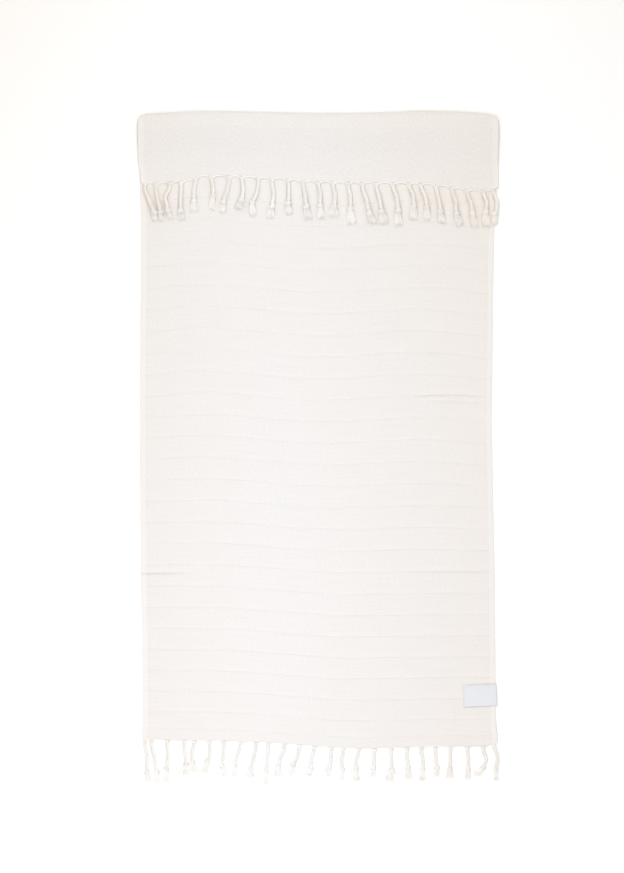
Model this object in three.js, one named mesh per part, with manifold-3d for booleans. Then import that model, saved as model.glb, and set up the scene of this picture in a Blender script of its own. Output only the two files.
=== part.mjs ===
// A flat-woven bath towel laid out flat, with its top end folded over to the front as a flap.
// Both cut ends carry a fringe of twisted, knotted tassels, and a blank label is sewn to the
// right selvedge. Millimetres, +X to the towel's right, +Y towards the fold, +Z up.

import * as THREE from 'three';
import { mergeVertices } from 'three/addons/utils/BufferGeometryUtils.js';
import Module from 'manifold-3d';

const wasm = await Module();
wasm.setup();

// Driving dimensions. The towel is 910 wide and 1780 long when it is opened out.
const clothWidth = 910;
const clothThickness = 2;
const hemY = -766;
const foldY = 862;
const flapHemY = 686;
const pieceGap = 0.3;

// The woven ribs: thick weft cords that cross the cloth at an even distance.
const ribSpacing = 55.25;
const ribCount = 25;
const firstRibY = -671;
const ribWidth = 3;
const ribHeight = 0.6;
const hemRidge = { y: -728, width: 2.4, height: 0.5 };
const flapRibs = [820, 766, 712];
const ribHeightOnSelvedge = 0.25;

// The rolled fold, as half an ellipse on its side.
const foldRadius = 8.5;
const foldReach = 16;
const outerFoldSteps = 10;
const innerFoldSteps = 7;

// The flap's upper face from the crest of the roll down to its hem.
const flapProfile = [
  { fromFold: 36, height: 17.2 },
  { fromFold: 64, height: 14.6 },
  { fromFold: 92, height: 10.6 },
  { fromFold: 118, height: 7.7 },
  { fromFold: 146, height: 6.1 },
  { fromFold: foldY - flapHemY, height: 5.6 },
];

// Packing creases that still stand up from the lower layer, the steep side towards the hem.
const creases = [
  { y: 166, rise: 12, fall: 5.5, height: 4, reach: 'rightCrease' },
  { y: 148, rise: 5, fall: 5, height: 2, reach: 'rightCrease' },
  { y: -316, rise: 12, fall: 4, height: 4, reach: 'leftCrease' },
];

// Lines across the towel. For each place x on the width, this is how far the line lies from
// its straight run: the ribs near the flap and near the hem, the hem, the fold and the
// flap's hem. The roll's extra height and the share of each crease's height come last.
const stations = namedRows(
  ['x', 'upperRibs', 'lowerRibs', 'hem', 'fold', 'flapHem', 'roll', 'leftCrease', 'rightCrease'],
  [
    [-455, -12, 0, 21, -8, -3, -2.5, 0.6, 0.1],
    [-440, -11.5, 0, 21, -4, -1, -1.5, 0.9, 0.1],
    [-437, -11, 0, 21, -3.5, -1, -1.5, 1, 0.1],
    [-395, -7.5, 0, 20, 0, 0, 0, 1, 0.1],
    [-345, -1.5, 0, 19, 2, 4, 1, 0.3, 0.1],
    [-290, 0, 0, 18, 4, 17, 1.5, 0.1, 0.1],
    [-225, -2.5, -2, 16, 4, 17, 1, 0.1, 0.1],
    [-160, -8.5, -7, 14, 3, 13, 0, 0.1, 0.1],
    [-90, -15, -12, 10, 1, 9, -1, 0.1, 0.1],
    [-20, -19, -17, 5, 0, 3, -1, 0.1, 0.1],
    [50, -19, -22, 0, 0, 1, 0, 0.1, 0.1],
    [120, -15, -22, -2, 0, 0, 1, 0.1, 0.1],
    [190, -10.5, -21, 0, 2, -1, 1.5, 0.1, 0.1],
    [260, -7, -20, 2, 5, -2, 1, 0.1, 0.1],
    [330, -10, -19, 3, 4, -11, 0, 0.1, 0.7],
    [395, -18, -19, 3, 1, -20, -0.5, 0.1, 1],
    [437, -24, -19, 6, -3, -20, -1.5, 0.1, 0.6],
    [440, -24.5, -19, 7, -3.5, -19, -1.5, 0.1, 0.5],
    [455, -26, -18, 13, -9, -14, -2.5, 0.1, 0.3],
  ],
);

// Which line of the table above holds at which place along each layer.
const lowerLines = [
  { y: hemY, line: 'hem' },
  { y: firstRibY, line: 'lowerRibs' },
  { y: -350, line: 'lowerRibs' },
  { y: 150, line: 'upperRibs' },
  { y: 655, line: 'upperRibs' },
  { y: foldY, line: 'fold' },
];
const flapLines = [
  { y: flapHemY, line: 'flapHem' },
  { y: foldY, line: 'fold' },
];

// Where the two selvedges run on each layer.
const lowerEdges = namedRows(
  ['y', 'left', 'right'],
  [
    [hemY, -455, 461],
    [-650, -452, 456],
    [-316, -456, 453],
    [130, -459, 446],
    [560, -456, 451],
    [foldY - foldReach, -463, 460],
    [foldY, -457, 456],
  ],
);
const flapEdges = namedRows(
  ['y', 'left', 'right'],
  [
    [flapHemY, -457, 463],
    [760, -463, 461],
    [foldY - foldReach, -463, 461],
    [foldY, -457, 456],
  ],
);

// The tassels. Each is a bundle of warp ends, gathered at the hem, twisted, knotted and cut.
const stripDepth = 5;
const gatherWidth = 29;
const gatherEndInset = 0.6;
const gatherThickness = 1.2;
const gatherLength = 10;
const ropeRadius = 5.8;
const ropeStep = 6;
const knotRadius = 9;
const knotHalfLength = 3;
const knotNeck = { radius: 4.8, reach: 7 };
const tasselClearance = 0.1;
const brushTips = 5;
const brushRootWidth = 9;
const brushNotch = 0.62;
const brushRootThickness = 6;
const brushTipThickness = 3.2;
const quarterTurn = Math.PI / 2;

// One row for each tassel, from the left: where it leaves the hem, how far its middle and its
// knot lie to the right of that, how far below the hem the knot lies, how far the brush leans
// to the right, how wide and how long the brush is, and how high the knot is held up.
const tasselColumns = ['root', 'middle', 'knot', 'drop', 'lean', 'spread', 'brush', 'lift'];
const flapTassels = namedRows(tasselColumns, [
  [-447, 11, 26, 78, 0, 15, 24, 2],
  [-418, 5, 13, 77, 3, 13, 25, 3],
  [-382, -11, -4, 75, 10, 14, 24, 2],
  [-353, -1, 0, 80, 3, 21, 24, 8],
  [-317, -3, -3, 60, 0, 31, 33, 3],
  [-275, 4, 4, 55, -3, 21, 38, 2],
  [-230, -5, -15, 69, -1, 23, 31, 3],
  [-197, 3, 0, 65, -14, 28, 27, 10],
  [-155, -3, -15, 67, 1, 23, 38, 3],
  [-120, 5, 0, 75, -4, 23, 31, 3],
  [-78, 1, 0, 64, 5, 21, 31, 9],
  [-40, 5, 8, 69, 9, 23, 36, 11],
  [-1, 5, 5, 64, 4, 23, 38, 4],
  [37, 5, 3, 67, -1, 38, 29, 3],
  [76, 5, 6, 69, 5, 28, 44, 4],
  [112, 10, 18, 82, 13, 23, 31, 3],
  [148, 8, 13, 77, 12, 31, 36, 5],
  [191, 10, 13, 74, 2, 26, 42, 6],
  [233, 10, 11, 62, -1, 31, 38, 5],
  [263, 10, 15, 64, 1, 23, 36, 4],
  [302, 6, 10, 72, 8, 21, 33, 5],
  [343, 8, 10, 72, 15, 28, 36, 6],
  [382, 8, 13, 66, 8, 26, 38, 5],
  [423, 8, 5, 60, 4, 28, 40, 3],
  [450, 8, 3, 64, 1, 18, 31, 2],
]);
const hemTassels = namedRows(tasselColumns, [
  [-446, 5, 5, 84, 5, 18, 27, 0],
  [-430, 8, 14, 83, 1, 18, 33, 0],
  [-389, 3, -3, 75, 0, 21, 38, 0],
  [-346, 4, 5, 64, 0, 21, 29, 0],
  [-320, -5, -5, 58, 8, 26, 29, 0],
  [-281, 3, -5, 55, -6, 23, 31, 0],
  [-243, -1, -5, 62, 10, 21, 35, 0],
  [-202, -6, -13, 59, -1, 18, 35, 0],
  [-161, -5, -13, 68, -4, 28, 27, 0],
  [-130, -1, -5, 74, 1, 15, 35, 0],
  [-89, -8, -15, 60, -1, 28, 28, 0],
  [-50, -5, -15, 52, -6, 23, 31, 0],
  [-12, -6, -8, 57, -4, 23, 25, 0],
  [32, 0, -6, 54, 0, 15, 24, 0],
  [63, -3, -3, 54, -1, 18, 33, 0],
  [102, -5, -6, 54, 3, 23, 33, 0],
  [143, 0, -3, 52, -1, 18, 25, 0],
  [186, 1, 1, 56, -5, 28, 35, 0],
  [227, 1, 3, 54, 3, 26, 31, 0],
  [263, 5, 4, 58, -1, 26, 33, 0],
  [299, 3, 4, 56, 1, 21, 25, 0],
  [338, 0, -1, 59, 1, 34, 28, 0],
  [382, 3, 1, 61, 0, 23, 28, 0],
  [423, 8, -3, 58, -18, 28, 25, 0],
  [452, 8, 3, 64, 3, 16, 33, 0],
]);

// The blank label, sewn flat across the right selvedge.
const label = { width: 87, height: 57, thickness: 1, x: 415, y: -633, turn: 0.055 };

function namedRows(columns, rows) {
  return rows.map((row) => Object.fromEntries(columns.map((name, i) => [name, row[i]])));
}

// Reads a column of a table at a place on its axis, straight between the two rows around it.
function readTable(rows, axis, column, place) {
  const held = THREE.MathUtils.clamp(place, rows[0][axis], rows[rows.length - 1][axis]);
  const after = Math.max(1, rows.findIndex((row) => row[axis] >= held));
  const [low, high] = [rows[after - 1], rows[after]];
  const share = (held - low[axis]) / (high[axis] - low[axis]);
  return THREE.MathUtils.lerp(low[column], high[column], share);
}

// How far a place on a layer is shifted along the towel by the lines around it.
function shiftAt(lines, station, y) {
  const rows = lines.map(({ y: lineY, line }) => ({ y: lineY, shift: station[line] }));
  return readTable(rows, 'y', 'shift', y);
}

// Puts a straight place (x across the width, y along the cloth) where it lies on the towel.
function placeOnLayer(layer, station, y) {
  const lines = layer === 'flap' ? flapLines : lowerLines;
  const edges = layer === 'flap' ? flapEdges : lowerEdges;
  const across = station.x / clothWidth + 0.5;
  const left = readTable(edges, 'y', 'left', y);
  const right = readTable(edges, 'y', 'right', y);
  return { x: THREE.MathUtils.lerp(left, right, across), y: y + shiftAt(lines, station, y) };
}

// A low ridge on a layer's upper face: its foot, its crest and its other foot.
function ridge(y, z, width, height) {
  return [
    { y: y - width / 2, z },
    { y, z, rib: height },
    { y: y + width / 2, z },
  ];
}

function creaseRows(z) {
  return creases.flatMap(({ y, rise, fall, height, reach }) => [
    { y: y - fall, z },
    { y, z, crease: height, reach },
    { y: y + rise, z },
  ]);
}

const byY = (a, b) => a.y - b.y;

function flapHeight(y) {
  const rows = [{ fromFold: foldReach, height: 2 * foldRadius }, ...flapProfile];
  return readTable(rows, 'fromFold', 'height', foldY - y);
}

// The half ellipse of the fold, seen from the side, a little inside its outer face.
function foldArc(inset, steps) {
  return Array.from({ length: steps + 1 }, (_, i) => {
    const angle = -quarterTurn + (Math.PI * i) / steps;
    const y = foldY - foldReach + (foldReach - inset) * Math.cos(angle);
    const z = foldRadius + (foldRadius - inset) * Math.sin(angle);
    return { y, z, layer: z < foldRadius ? 'lower' : 'flap' };
  });
}

// The towel's one section from hem to hem: underside, round the fold, over the flap,
// back under it, round the inside of the fold and along the lower layer's upper face.
function clothSection() {
  const lower = (point) => ({ ...point, layer: 'lower' });
  const flap = (point) => ({ ...point, layer: 'flap' });
  const underside = [{ y: hemY, z: 0 }, ...creaseRows(0).sort(byY)].map(lower);
  const profile = flapProfile.map(({ fromFold, height }) => ({ y: foldY - fromFold, z: height }));
  const ribs = flapRibs.flatMap((y) => ridge(y, 0, ribWidth, ribHeight));
  const onFlap = ribs.map((point) => ({ ...point, z: flapHeight(point.y) }));
  const flapTop = [...profile, ...onFlap].sort(byY).reverse().map(flap);
  const flapUnder = profile.map(({ y, z }) => flap({ y, z: z - clothThickness })).reverse();
  const ribLine = Array.from({ length: ribCount }, (_, i) => firstRibY + i * ribSpacing);
  const lowerTop = [
    { y: hemY, z: clothThickness },
    ...ridge(hemRidge.y, clothThickness, hemRidge.width, hemRidge.height),
    ...ribLine.flatMap((y) => ridge(y, clothThickness, ribWidth, ribHeight)),
    ...creaseRows(clothThickness),
  ];
  return [
    ...underside,
    ...foldArc(0, outerFoldSteps),
    ...flapTop,
    ...flapUnder,
    ...foldArc(clothThickness, innerFoldSteps).reverse(),
    ...lowerTop.sort(byY).reverse().map(lower),
  ];
}

// Lifts a section point by its share of a rib, a crease or the roll.
function heightAt(point, station) {
  const onSelvedge = Math.abs(station.x) > clothWidth / 2 - 16;
  const rib = (point.rib ?? 0) * (onSelvedge ? ribHeightOnSelvedge : 1);
  const crease = point.crease ? point.crease * station[point.reach] : 0;
  const hemHeight = flapProfile[flapProfile.length - 1].height;
  const rollShare = (point.z - hemHeight) / (2 * foldRadius - hemHeight);
  const roll = point.layer === 'flap' ? station.roll * THREE.MathUtils.clamp(rollShare, 0, 1) : 0;
  return point.z + rib + crease + roll;
}

// Draws a section across the whole width, one step for each station, and lays every point of
// it where the lines, edges, ribs and creases put it.
function sheetSolid(section) {
  const outline = section.map((point) => [point.y, point.z + (point.rib ?? 0) + (point.crease ?? 0)]);
  const shape = new THREE.Shape(outline.map(([y, z]) => new THREE.Vector2(y, z)));
  const steps = stations.length - 1;
  const geometry = new THREE.ExtrudeGeometry(shape, { depth: steps, steps, bevelEnabled: false });
  const key = (y, z) => `${y.toFixed(2)} ${z.toFixed(2)}`;
  const pointAt = new Map(section.map((point, i) => [key(...outline[i]), point]));
  const position = geometry.getAttribute('position');
  for (let i = 0; i < position.count; i += 1) {
    const point = pointAt.get(key(position.getX(i), position.getY(i)));
    const station = stations[Math.round(position.getZ(i))];
    const placed = placeOnLayer(point.layer, station, point.y);
    position.setXYZ(i, placed.x, placed.y, heightAt(point, station));
  }
  return sharedVertices(geometry);
}

// Leaves only positions, with one vertex where several meet.
function sharedVertices(geometry) {
  geometry.deleteAttribute('normal');
  geometry.deleteAttribute('uv');
  return mergeVertices(geometry, 1e-3);
}

function toManifold(geometry) {
  return new wasm.Manifold(new wasm.Mesh({
    numProp: 3,
    vertProperties: new Float32Array(geometry.getAttribute('position').array),
    triVerts: new Uint32Array(geometry.getIndex().array),
  }));
}

function fromManifold(solid) {
  const { vertProperties, triVerts } = solid.getMesh();
  const geometry = new THREE.BufferGeometry();
  geometry.setAttribute('position', new THREE.BufferAttribute(vertProperties, 3));
  geometry.setIndex(new THREE.BufferAttribute(triVerts, 1));
  return geometry;
}

// A closed solid through four-cornered rings, each wound the same way about the run. Its faces
// are split against the twist, which cuts the grooves of a rope.
function ringSolid(rings, twist) {
  const sides = 4;
  const index = [];
  for (let ring = 0; ring < rings.length - 1; ring += 1) {
    for (let side = 0; side < sides; side += 1) {
      const a = ring * sides + side;
      const b = ring * sides + ((side + 1) % sides);
      const [c, d] = [a + sides, b + sides];
      index.push(...(twist > 0 ? [a, b, d, a, d, c] : [a, b, c, b, d, c]));
    }
  }
  const last = (rings.length - 1) * sides;
  index.push(0, 2, 1, 0, 3, 2, last, last + 1, last + 2, last, last + 2, last + 3);
  const geometry = new THREE.BufferGeometry();
  const corners = rings.flat().flatMap((corner) => corner.toArray());
  geometry.setAttribute('position', new THREE.Float32BufferAttribute(corners, 3));
  geometry.setIndex(index);
  return geometry;
}

// The four corners of a square ring about a point of a run, turned by an angle.
function squareRing(centre, run, radius, angle) {
  const side = new THREE.Vector3().crossVectors(new THREE.Vector3(0, 0, 1), run).normalize();
  const up = new THREE.Vector3().crossVectors(run, side).normalize();
  return Array.from({ length: 4 }, (_, i) => {
    const turn = angle + i * quarterTurn;
    return centre.clone()
      .addScaledVector(side, radius * Math.cos(turn))
      .addScaledVector(up, radius * Math.sin(turn));
  });
}

// Where a hem lies at a real place across the towel, as its straight run plus its shift.
function hemAt(fringe, x) {
  const { edges, hem, line } = fringe;
  const left = readTable(edges, 'y', 'left', hem);
  const right = readTable(edges, 'y', 'right', hem);
  const straightX = ((x - left) / (right - left) - 0.5) * clothWidth;
  return hem + readTable(stations, 'x', line, straightX);
}

// The flat gathered end of a tassel inside the strip, as wide as its share of the warp.
function gatherRing(fringe, x) {
  const corners = [[1, 1], [-1, 1], [-1, -1], [1, -1]];
  const middle = fringe.stripBase + clothThickness / 2;
  const low = readTable(fringe.edges, 'y', 'left', fringe.hem) + gatherEndInset;
  const high = readTable(fringe.edges, 'y', 'right', fringe.hem) - gatherEndInset;
  return corners.map(([side, up]) => {
    const cornerX = THREE.MathUtils.clamp(x + (side * gatherWidth) / 2, low, high);
    const y = hemAt(fringe, cornerX) - pieceGap - stripDepth / 2;
    return new THREE.Vector3(cornerX, y, middle + (up * gatherThickness) / 2);
  });
}

// The twisted rope of a tassel with its knot, as rings that turn an eighth at each step, the
// way that its fringe is twisted.
function rope(fringe, tassel, knotCentre) {
  const restHeight = fringe.base + ropeRadius;
  const start = new THREE.Vector3(tassel.root, hemAt(fringe, tassel.root) - gatherLength, restHeight);
  const middle = new THREE.Vector3(
    tassel.root + tassel.middle,
    (start.y + knotCentre.y) / 2,
    restHeight + tassel.lift * 0.4,
  );
  const path = new THREE.CatmullRomCurve3([start, middle, knotCentre]);
  const steps = Math.round(path.getLength() / ropeStep);
  const stepTurn = (fringe.twist * quarterTurn) / 2;
  const rings = [gatherRing(fringe, tassel.root)];
  for (let i = 0; i < steps; i += 1) {
    const share = i / steps;
    const angle = quarterTurn / 2 + i * stepTurn;
    rings.push(squareRing(path.getPointAt(share), path.getTangentAt(share), ropeRadius, angle));
  }
  const run = path.getTangentAt(1).setZ(0).normalize();
  const lastAngle = quarterTurn / 2 + steps * stepTurn;
  const squareAngle = steps % 2 === 0 ? lastAngle : lastAngle + stepTurn;
  const knotRings = [
    [-knotHalfLength, knotRadius],
    [knotHalfLength, knotRadius],
    [knotNeck.reach, knotNeck.radius],
  ];
  knotRings.forEach(([along, radius]) => {
    const centre = knotCentre.clone().addScaledVector(run, along);
    rings.push(squareRing(centre, run, radius, squareAngle));
  });
  return ringSolid(rings, fringe.twist);
}

// The cut ends below a knot: a thin fan of pointed locks that slopes down to its tips.
function brush(fringe, tassel, knotCentre) {
  const shape = new THREE.Shape();
  shape.moveTo(0, -brushRootWidth / 2);
  for (let tip = 0; tip < brushTips; tip += 1) {
    const share = tip / (brushTips - 1) - 0.5;
    const reach = tassel.brush * (tip % 2 === 0 ? 1 : 0.88);
    shape.lineTo(reach, share * tassel.spread);
    if (tip < brushTips - 1) {
      const notch = (tip + 0.5) / (brushTips - 1) - 0.5;
      shape.lineTo(tassel.brush * brushNotch, notch * tassel.spread * 0.8);
    }
  }
  shape.lineTo(0, brushRootWidth / 2);
  const geometry = new THREE.ExtrudeGeometry(shape, { depth: 1, bevelEnabled: false });
  const run = new THREE.Vector2(tassel.lean, -tassel.brush).normalize();
  const position = geometry.getAttribute('position');
  for (let i = 0; i < position.count; i += 1) {
    const along = position.getX(i);
    const across = position.getY(i);
    const share = along / tassel.brush;
    const rootBottom = knotCentre.z - brushRootThickness / 2;
    const bottom = THREE.MathUtils.lerp(rootBottom, fringe.base, share);
    const thickness = THREE.MathUtils.lerp(brushRootThickness, brushTipThickness, share);
    position.setXYZ(
      i,
      knotCentre.x + along * run.x - across * run.y,
      knotCentre.y + along * run.y + across * run.x,
      bottom + position.getZ(i) * thickness,
    );
  }
  return sharedVertices(geometry);
}

// A fringe: a narrow strip along a hem, with every tassel joined to it.
function fringeSolid(fringe) {
  const top = fringe.stripBase + clothThickness;
  const near = fringe.hem - pieceGap;
  const corners = [
    { y: near - stripDepth, z: fringe.stripBase },
    { y: near, z: fringe.stripBase },
    { y: near, z: top },
    { y: near - stripDepth, z: top },
  ];
  const strip = sheetSolid(corners.map((corner) => ({ ...corner, layer: fringe.layer })));
  const tassels = fringe.tassels.map((tassel) => {
    const knotHeight = fringe.base + knotRadius * Math.SQRT1_2 + tassel.lift;
    const knotY = hemAt(fringe, tassel.root) - tassel.drop;
    const knotCentre = new THREE.Vector3(tassel.root + tassel.knot, knotY, knotHeight);
    return toManifold(rope(fringe, tassel, knotCentre))
      .add(toManifold(brush(fringe, tassel, knotCentre)));
  });
  const joined = tassels.reduce((solid, tassel) => solid.add(tassel), toManifold(strip));
  return fromManifold(joined);
}

// The flap's fringe lies on the lower layer, and the hem's fringe on the surface below. Seen
// from above, the flap's ropes are twisted down to the right, and the hem's down to the left.
const flapFringe = {
  layer: 'flap',
  line: 'flapHem',
  hem: flapHemY,
  edges: flapEdges,
  stripBase: flapProfile[flapProfile.length - 1].height - clothThickness,
  base: clothThickness + ribHeight + pieceGap,
  twist: -1,
  tassels: flapTassels,
};
const hemFringe = {
  layer: 'lower',
  line: 'hem',
  hem: hemY,
  edges: lowerEdges,
  stripBase: 0,
  base: tasselClearance,
  twist: 1,
  tassels: hemTassels,
};

function mesh(name, geometry, color, roughness) {
  const material = new THREE.MeshStandardMaterial({ color, roughness, metalness: 0 });
  const part = new THREE.Mesh(geometry, material);
  part.name = name;
  return part;
}

function labelMesh() {
  const box = new THREE.BoxGeometry(label.width, label.height, label.thickness);
  const part = mesh('label', box, 0xe3e6eb, 0.55);
  const underside = clothThickness + ribHeight + pieceGap;
  part.position.set(label.x, label.y, underside + label.thickness / 2);
  part.rotation.z = label.turn;
  return part;
}

const towel = new THREE.Group();
towel.add(mesh('cloth', sheetSolid(clothSection()), 0xf2efea, 0.95));
towel.add(mesh('fringe_flap', fringeSolid(flapFringe), 0xf4f1ec, 0.95));
towel.add(mesh('fringe_hem', fringeSolid(hemFringe), 0xf4f1ec, 0.95));
towel.add(labelMesh());

// The origin is the middle of the surface that the towel lies on.
const bounds = new THREE.Box3().setFromObject(towel);
const centre = bounds.getCenter(new THREE.Vector3());
towel.position.set(-centre.x, -centre.y, -bounds.min.z);

export default towel;
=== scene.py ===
# A flat-woven cotton bath towel laid out flat and seen from straight above. Its top end is
# folded over to the front as a flap, both cut ends carry a fringe of twisted and knotted
# tassels, and a blank label is sewn to the right selvedge.
# Sizes are in metres: x runs across the towel, y from the lower hem to the fold, z is up.

import math

import bpy
import numpy as np
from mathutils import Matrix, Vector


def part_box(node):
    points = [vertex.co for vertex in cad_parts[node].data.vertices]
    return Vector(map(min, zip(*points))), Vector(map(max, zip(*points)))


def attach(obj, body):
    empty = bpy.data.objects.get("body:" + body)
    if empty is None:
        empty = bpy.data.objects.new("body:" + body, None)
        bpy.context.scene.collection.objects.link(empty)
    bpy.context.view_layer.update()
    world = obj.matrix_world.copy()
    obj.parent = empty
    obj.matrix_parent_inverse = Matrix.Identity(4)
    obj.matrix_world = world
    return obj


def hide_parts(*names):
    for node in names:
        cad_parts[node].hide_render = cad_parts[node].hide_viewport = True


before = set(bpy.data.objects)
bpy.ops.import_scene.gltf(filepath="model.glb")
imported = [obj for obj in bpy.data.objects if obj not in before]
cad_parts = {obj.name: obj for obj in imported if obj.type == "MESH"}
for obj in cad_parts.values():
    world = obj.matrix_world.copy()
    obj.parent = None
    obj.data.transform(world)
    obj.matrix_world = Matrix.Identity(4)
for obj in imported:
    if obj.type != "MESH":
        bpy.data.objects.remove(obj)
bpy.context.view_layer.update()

# The cloth, opened out 0.91 wide and 1.78 long.
CLOTH_WIDTH = 0.910
CLOTH_THICKNESS = 0.0019
HEM_Y = -0.766
FOLD_Y = 0.862
FLAP_HEM_Y = 0.686
SELVEDGE_WIDTH = 0.015
INNER_HALF = CLOTH_WIDTH / 2 - SELVEDGE_WIDTH
EDGE_ROUNDING = 0.0009
ROW_STEP = 0.0085
COLUMN_STEP = 0.0113

# The widest place on the left and the furthest place of the fold, which fix the towel's place.
LEFTMOST_X = -0.463
FURTHEST_Y = 0.867

# The woven ribs. Each is a thick weft cord at the lower side of a slight swell.
RIB_SPACING = 0.05525
RIB_COUNT = 25
FIRST_RIB_Y = -0.671
RIB_SWELL = 0.00030
RIB_CORD = 0.00038
RIB_CORD_WIDTH = 0.0012
RIB_RISE = 0.013
RIB_FALL = 0.0034
RIB_WAVER = 0.0008
RIB_UNEVENNESS = ({"share": 0.3, "wavelength": 0.09}, {"share": 0.2, "wavelength": 0.03})
RIB_WAVER_LENGTH = 0.07
RIB_ON_SELVEDGE = 0.35
RIB_ROWS = (0.013, 0.0085, 0.005, 0.0028, 0.0013, 0.0005, -0.0005, -0.0014, -0.0024, -0.0036)
HEM_RIB_Y = -0.728
FLAP_RIBS = (0.820, 0.766, 0.712)
FLAP_RIB_SHARE = 0.3
HEM_RIB_SHARE = 0.8

# The rolled fold, half an ellipse on its side, and the flap from its crest down to the hem.
FOLD_RADIUS = 0.0085
FOLD_REACH = 0.016
FOLD_STEPS = 22
FLAP_PROFILE = {
    "from_fold": np.array([0.016, 0.036, 0.064, 0.092, 0.118, 0.146, 0.176]),
    "height": np.array([0.017, 0.0172, 0.0146, 0.0104, 0.0070, 0.0050, 0.0043]),
}
FLAP_HEM_HEIGHT = FLAP_PROFILE["height"][-1]

# How far soft waves lift the lower layer, the flap and the roll, and how long they are.
LOWER_WAVE = {"lift": 0.0004, "length": 0.16}
FLAP_WAVE = {"lift": 0.0012, "length": 0.13}
ROLL_WAVE = {"lift": 0.0008, "length": 0.11}

# The tassels pull the hem out at their roots and draw the cloth in above them, and each rib
# nicks the right selvedge.
HEM_PULL = {"depth": 0.0028, "fade": 0.006, "reach": 0.0055}
DIMPLE = {"lower": 0.0005, "flap": 0.0006, "reach": 0.005}
SELVEDGE_NICK = {"depth": 0.0011, "length": 0.0022, "fade": 0.002}
SELVEDGE_GROOVE = {"depth": 0.0003, "width": 0.0011}
FLAP_HEM_ROLL = {"height": 0.00045, "from_hem": 0.0036, "width": 0.0012}


def read_rows(columns, rows):
    """A short table as one array for each named column."""
    return dict(zip(columns, np.array(rows, float).T))


# Lines across the towel: for each place x, how far the line lies from its straight run. The
# roll's extra height and the share of each crease's height come last.
STATION_COLUMNS = ("x", "upper_ribs", "lower_ribs", "hem", "fold", "flap_hem", "roll", "left", "right")
STATIONS = read_rows(STATION_COLUMNS, [
    (-0.455, -0.012, 0, 0.021, -0.008, -0.003, -0.0025, 0.6, 0),
    (-0.44, -0.0115, 0, 0.021, -0.004, -0.001, -0.0015, 0.9, 0),
    (-0.437, -0.011, 0, 0.021, -0.0035, -0.001, -0.0015, 1, 0),
    (-0.395, -0.0075, 0, 0.02, 0, 0, 0, 1, 0),
    (-0.345, -0.0015, 0, 0.019, 0.002, 0.004, 0.001, 0.3, 0),
    (-0.29, 0, 0, 0.018, 0.004, 0.017, 0.0015, 0, 0),
    (-0.225, -0.0025, -0.002, 0.016, 0.004, 0.017, 0.001, 0, 0),
    (-0.16, -0.0085, -0.007, 0.014, 0.003, 0.013, 0, 0, 0),
    (-0.09, -0.015, -0.012, 0.01, 0.001, 0.009, -0.001, 0, 0),
    (-0.02, -0.019, -0.017, 0.005, 0, 0.003, -0.001, 0, 0),
    (0.05, -0.019, -0.022, 0, 0, 0.001, 0, 0, 0),
    (0.12, -0.015, -0.022, -0.002, 0, 0, 0.001, 0, 0),
    (0.19, -0.0105, -0.021, 0, 0.002, -0.001, 0.0015, 0, 0),
    (0.26, -0.007, -0.02, 0.002, 0.005, -0.002, 0.001, 0, 0.5),
    (0.33, -0.01, -0.019, 0.003, 0.004, -0.011, 0, 0, 1),
    (0.395, -0.018, -0.019, 0.003, 0.001, -0.02, -0.0005, 0, 1),
    (0.437, -0.024, -0.019, 0.006, -0.003, -0.02, -0.0015, 0, 0.2),
    (0.44, -0.0245, -0.019, 0.007, -0.0035, -0.019, -0.0015, 0, 0.2),
    (0.455, -0.026, -0.018, 0.013, -0.009, -0.014, -0.0025, 0, 0.1),
])

# Which of those lines holds at which place along each layer, how much further it is shifted
# all across, and where the selvedges run.
LOWER_LINES = (
    (HEM_Y, "hem", 0.0),
    (FIRST_RIB_Y, "lower_ribs", -0.0030),
    (-0.500, "lower_ribs", -0.0080),
    (-0.350, "lower_ribs", -0.0105),
    (0.150, "upper_ribs", -0.0115),
    (0.655, "upper_ribs", -0.0088),
    (FOLD_Y, "fold", 0.0),
)
FLAP_LINES = ((FLAP_HEM_Y, "flap_hem", 0.0), (FOLD_Y, "fold", 0.0))
LOWER_EDGES = read_rows(("y", "left", "right"), [
    (HEM_Y, -0.455, 0.461),
    (-0.65, -0.452, 0.456),
    (-0.316, -0.456, 0.453),
    (0.13, -0.459, 0.446),
    (0.56, -0.456, 0.451),
    (FOLD_Y - FOLD_REACH, -0.463, 0.46),
    (FOLD_Y, -0.457, 0.456),
])
FLAP_EDGES = read_rows(("y", "left", "right"), [
    (FLAP_HEM_Y, -0.457, 0.463),
    (0.76, -0.463, 0.461),
    (FOLD_Y - FOLD_REACH, -0.463, 0.461),
    (FOLD_Y, -0.457, 0.456),
])

# Packing creases that still stand up from the lower layer. Each rises slowly on its upper
# side and drops at once on its lower side.
CREASES = (
    {"y": 0.1663, "tilt": 0.09, "rise": 0.012, "fall": 0.0035, "height": 0.0027, "reach": "right"},
    {"y": 0.1500, "tilt": 0.05, "rise": 0.006, "fall": 0.0050, "height": 0.0012, "reach": "right"},
    {"y": -0.2845, "tilt": 0.0, "rise": 0.012, "fall": 0.0050, "height": 0.0011, "reach": "right"},
    {"y": -0.3060, "tilt": 0.0, "rise": 0.012, "fall": 0.0035, "height": 0.0023, "reach": "left"},
)
CREASE_ROWS = (1.0, 0.7, 0.45, 0.25, 0.1, 0.0)
CREASE_MIDDLE = 0.38

# The selvedge is turned up a little along this line beside the lower right corner.
CORNER_CREASE = {
    "y": np.array([-0.752, -0.740, -0.725, -0.704, -0.680]),
    "x": np.array([0.4585, 0.4560, 0.4497, 0.4435, 0.4400]),
    "strength": np.array([1.0, 1.0, 0.9, 0.4, 0.0]),
}
CORNER_RIDGE = {"height": 0.0021, "beside": 0.005, "width": 0.0036}
CORNER_GROOVE = {"depth": 0.0009, "width": 0.0013}

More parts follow.
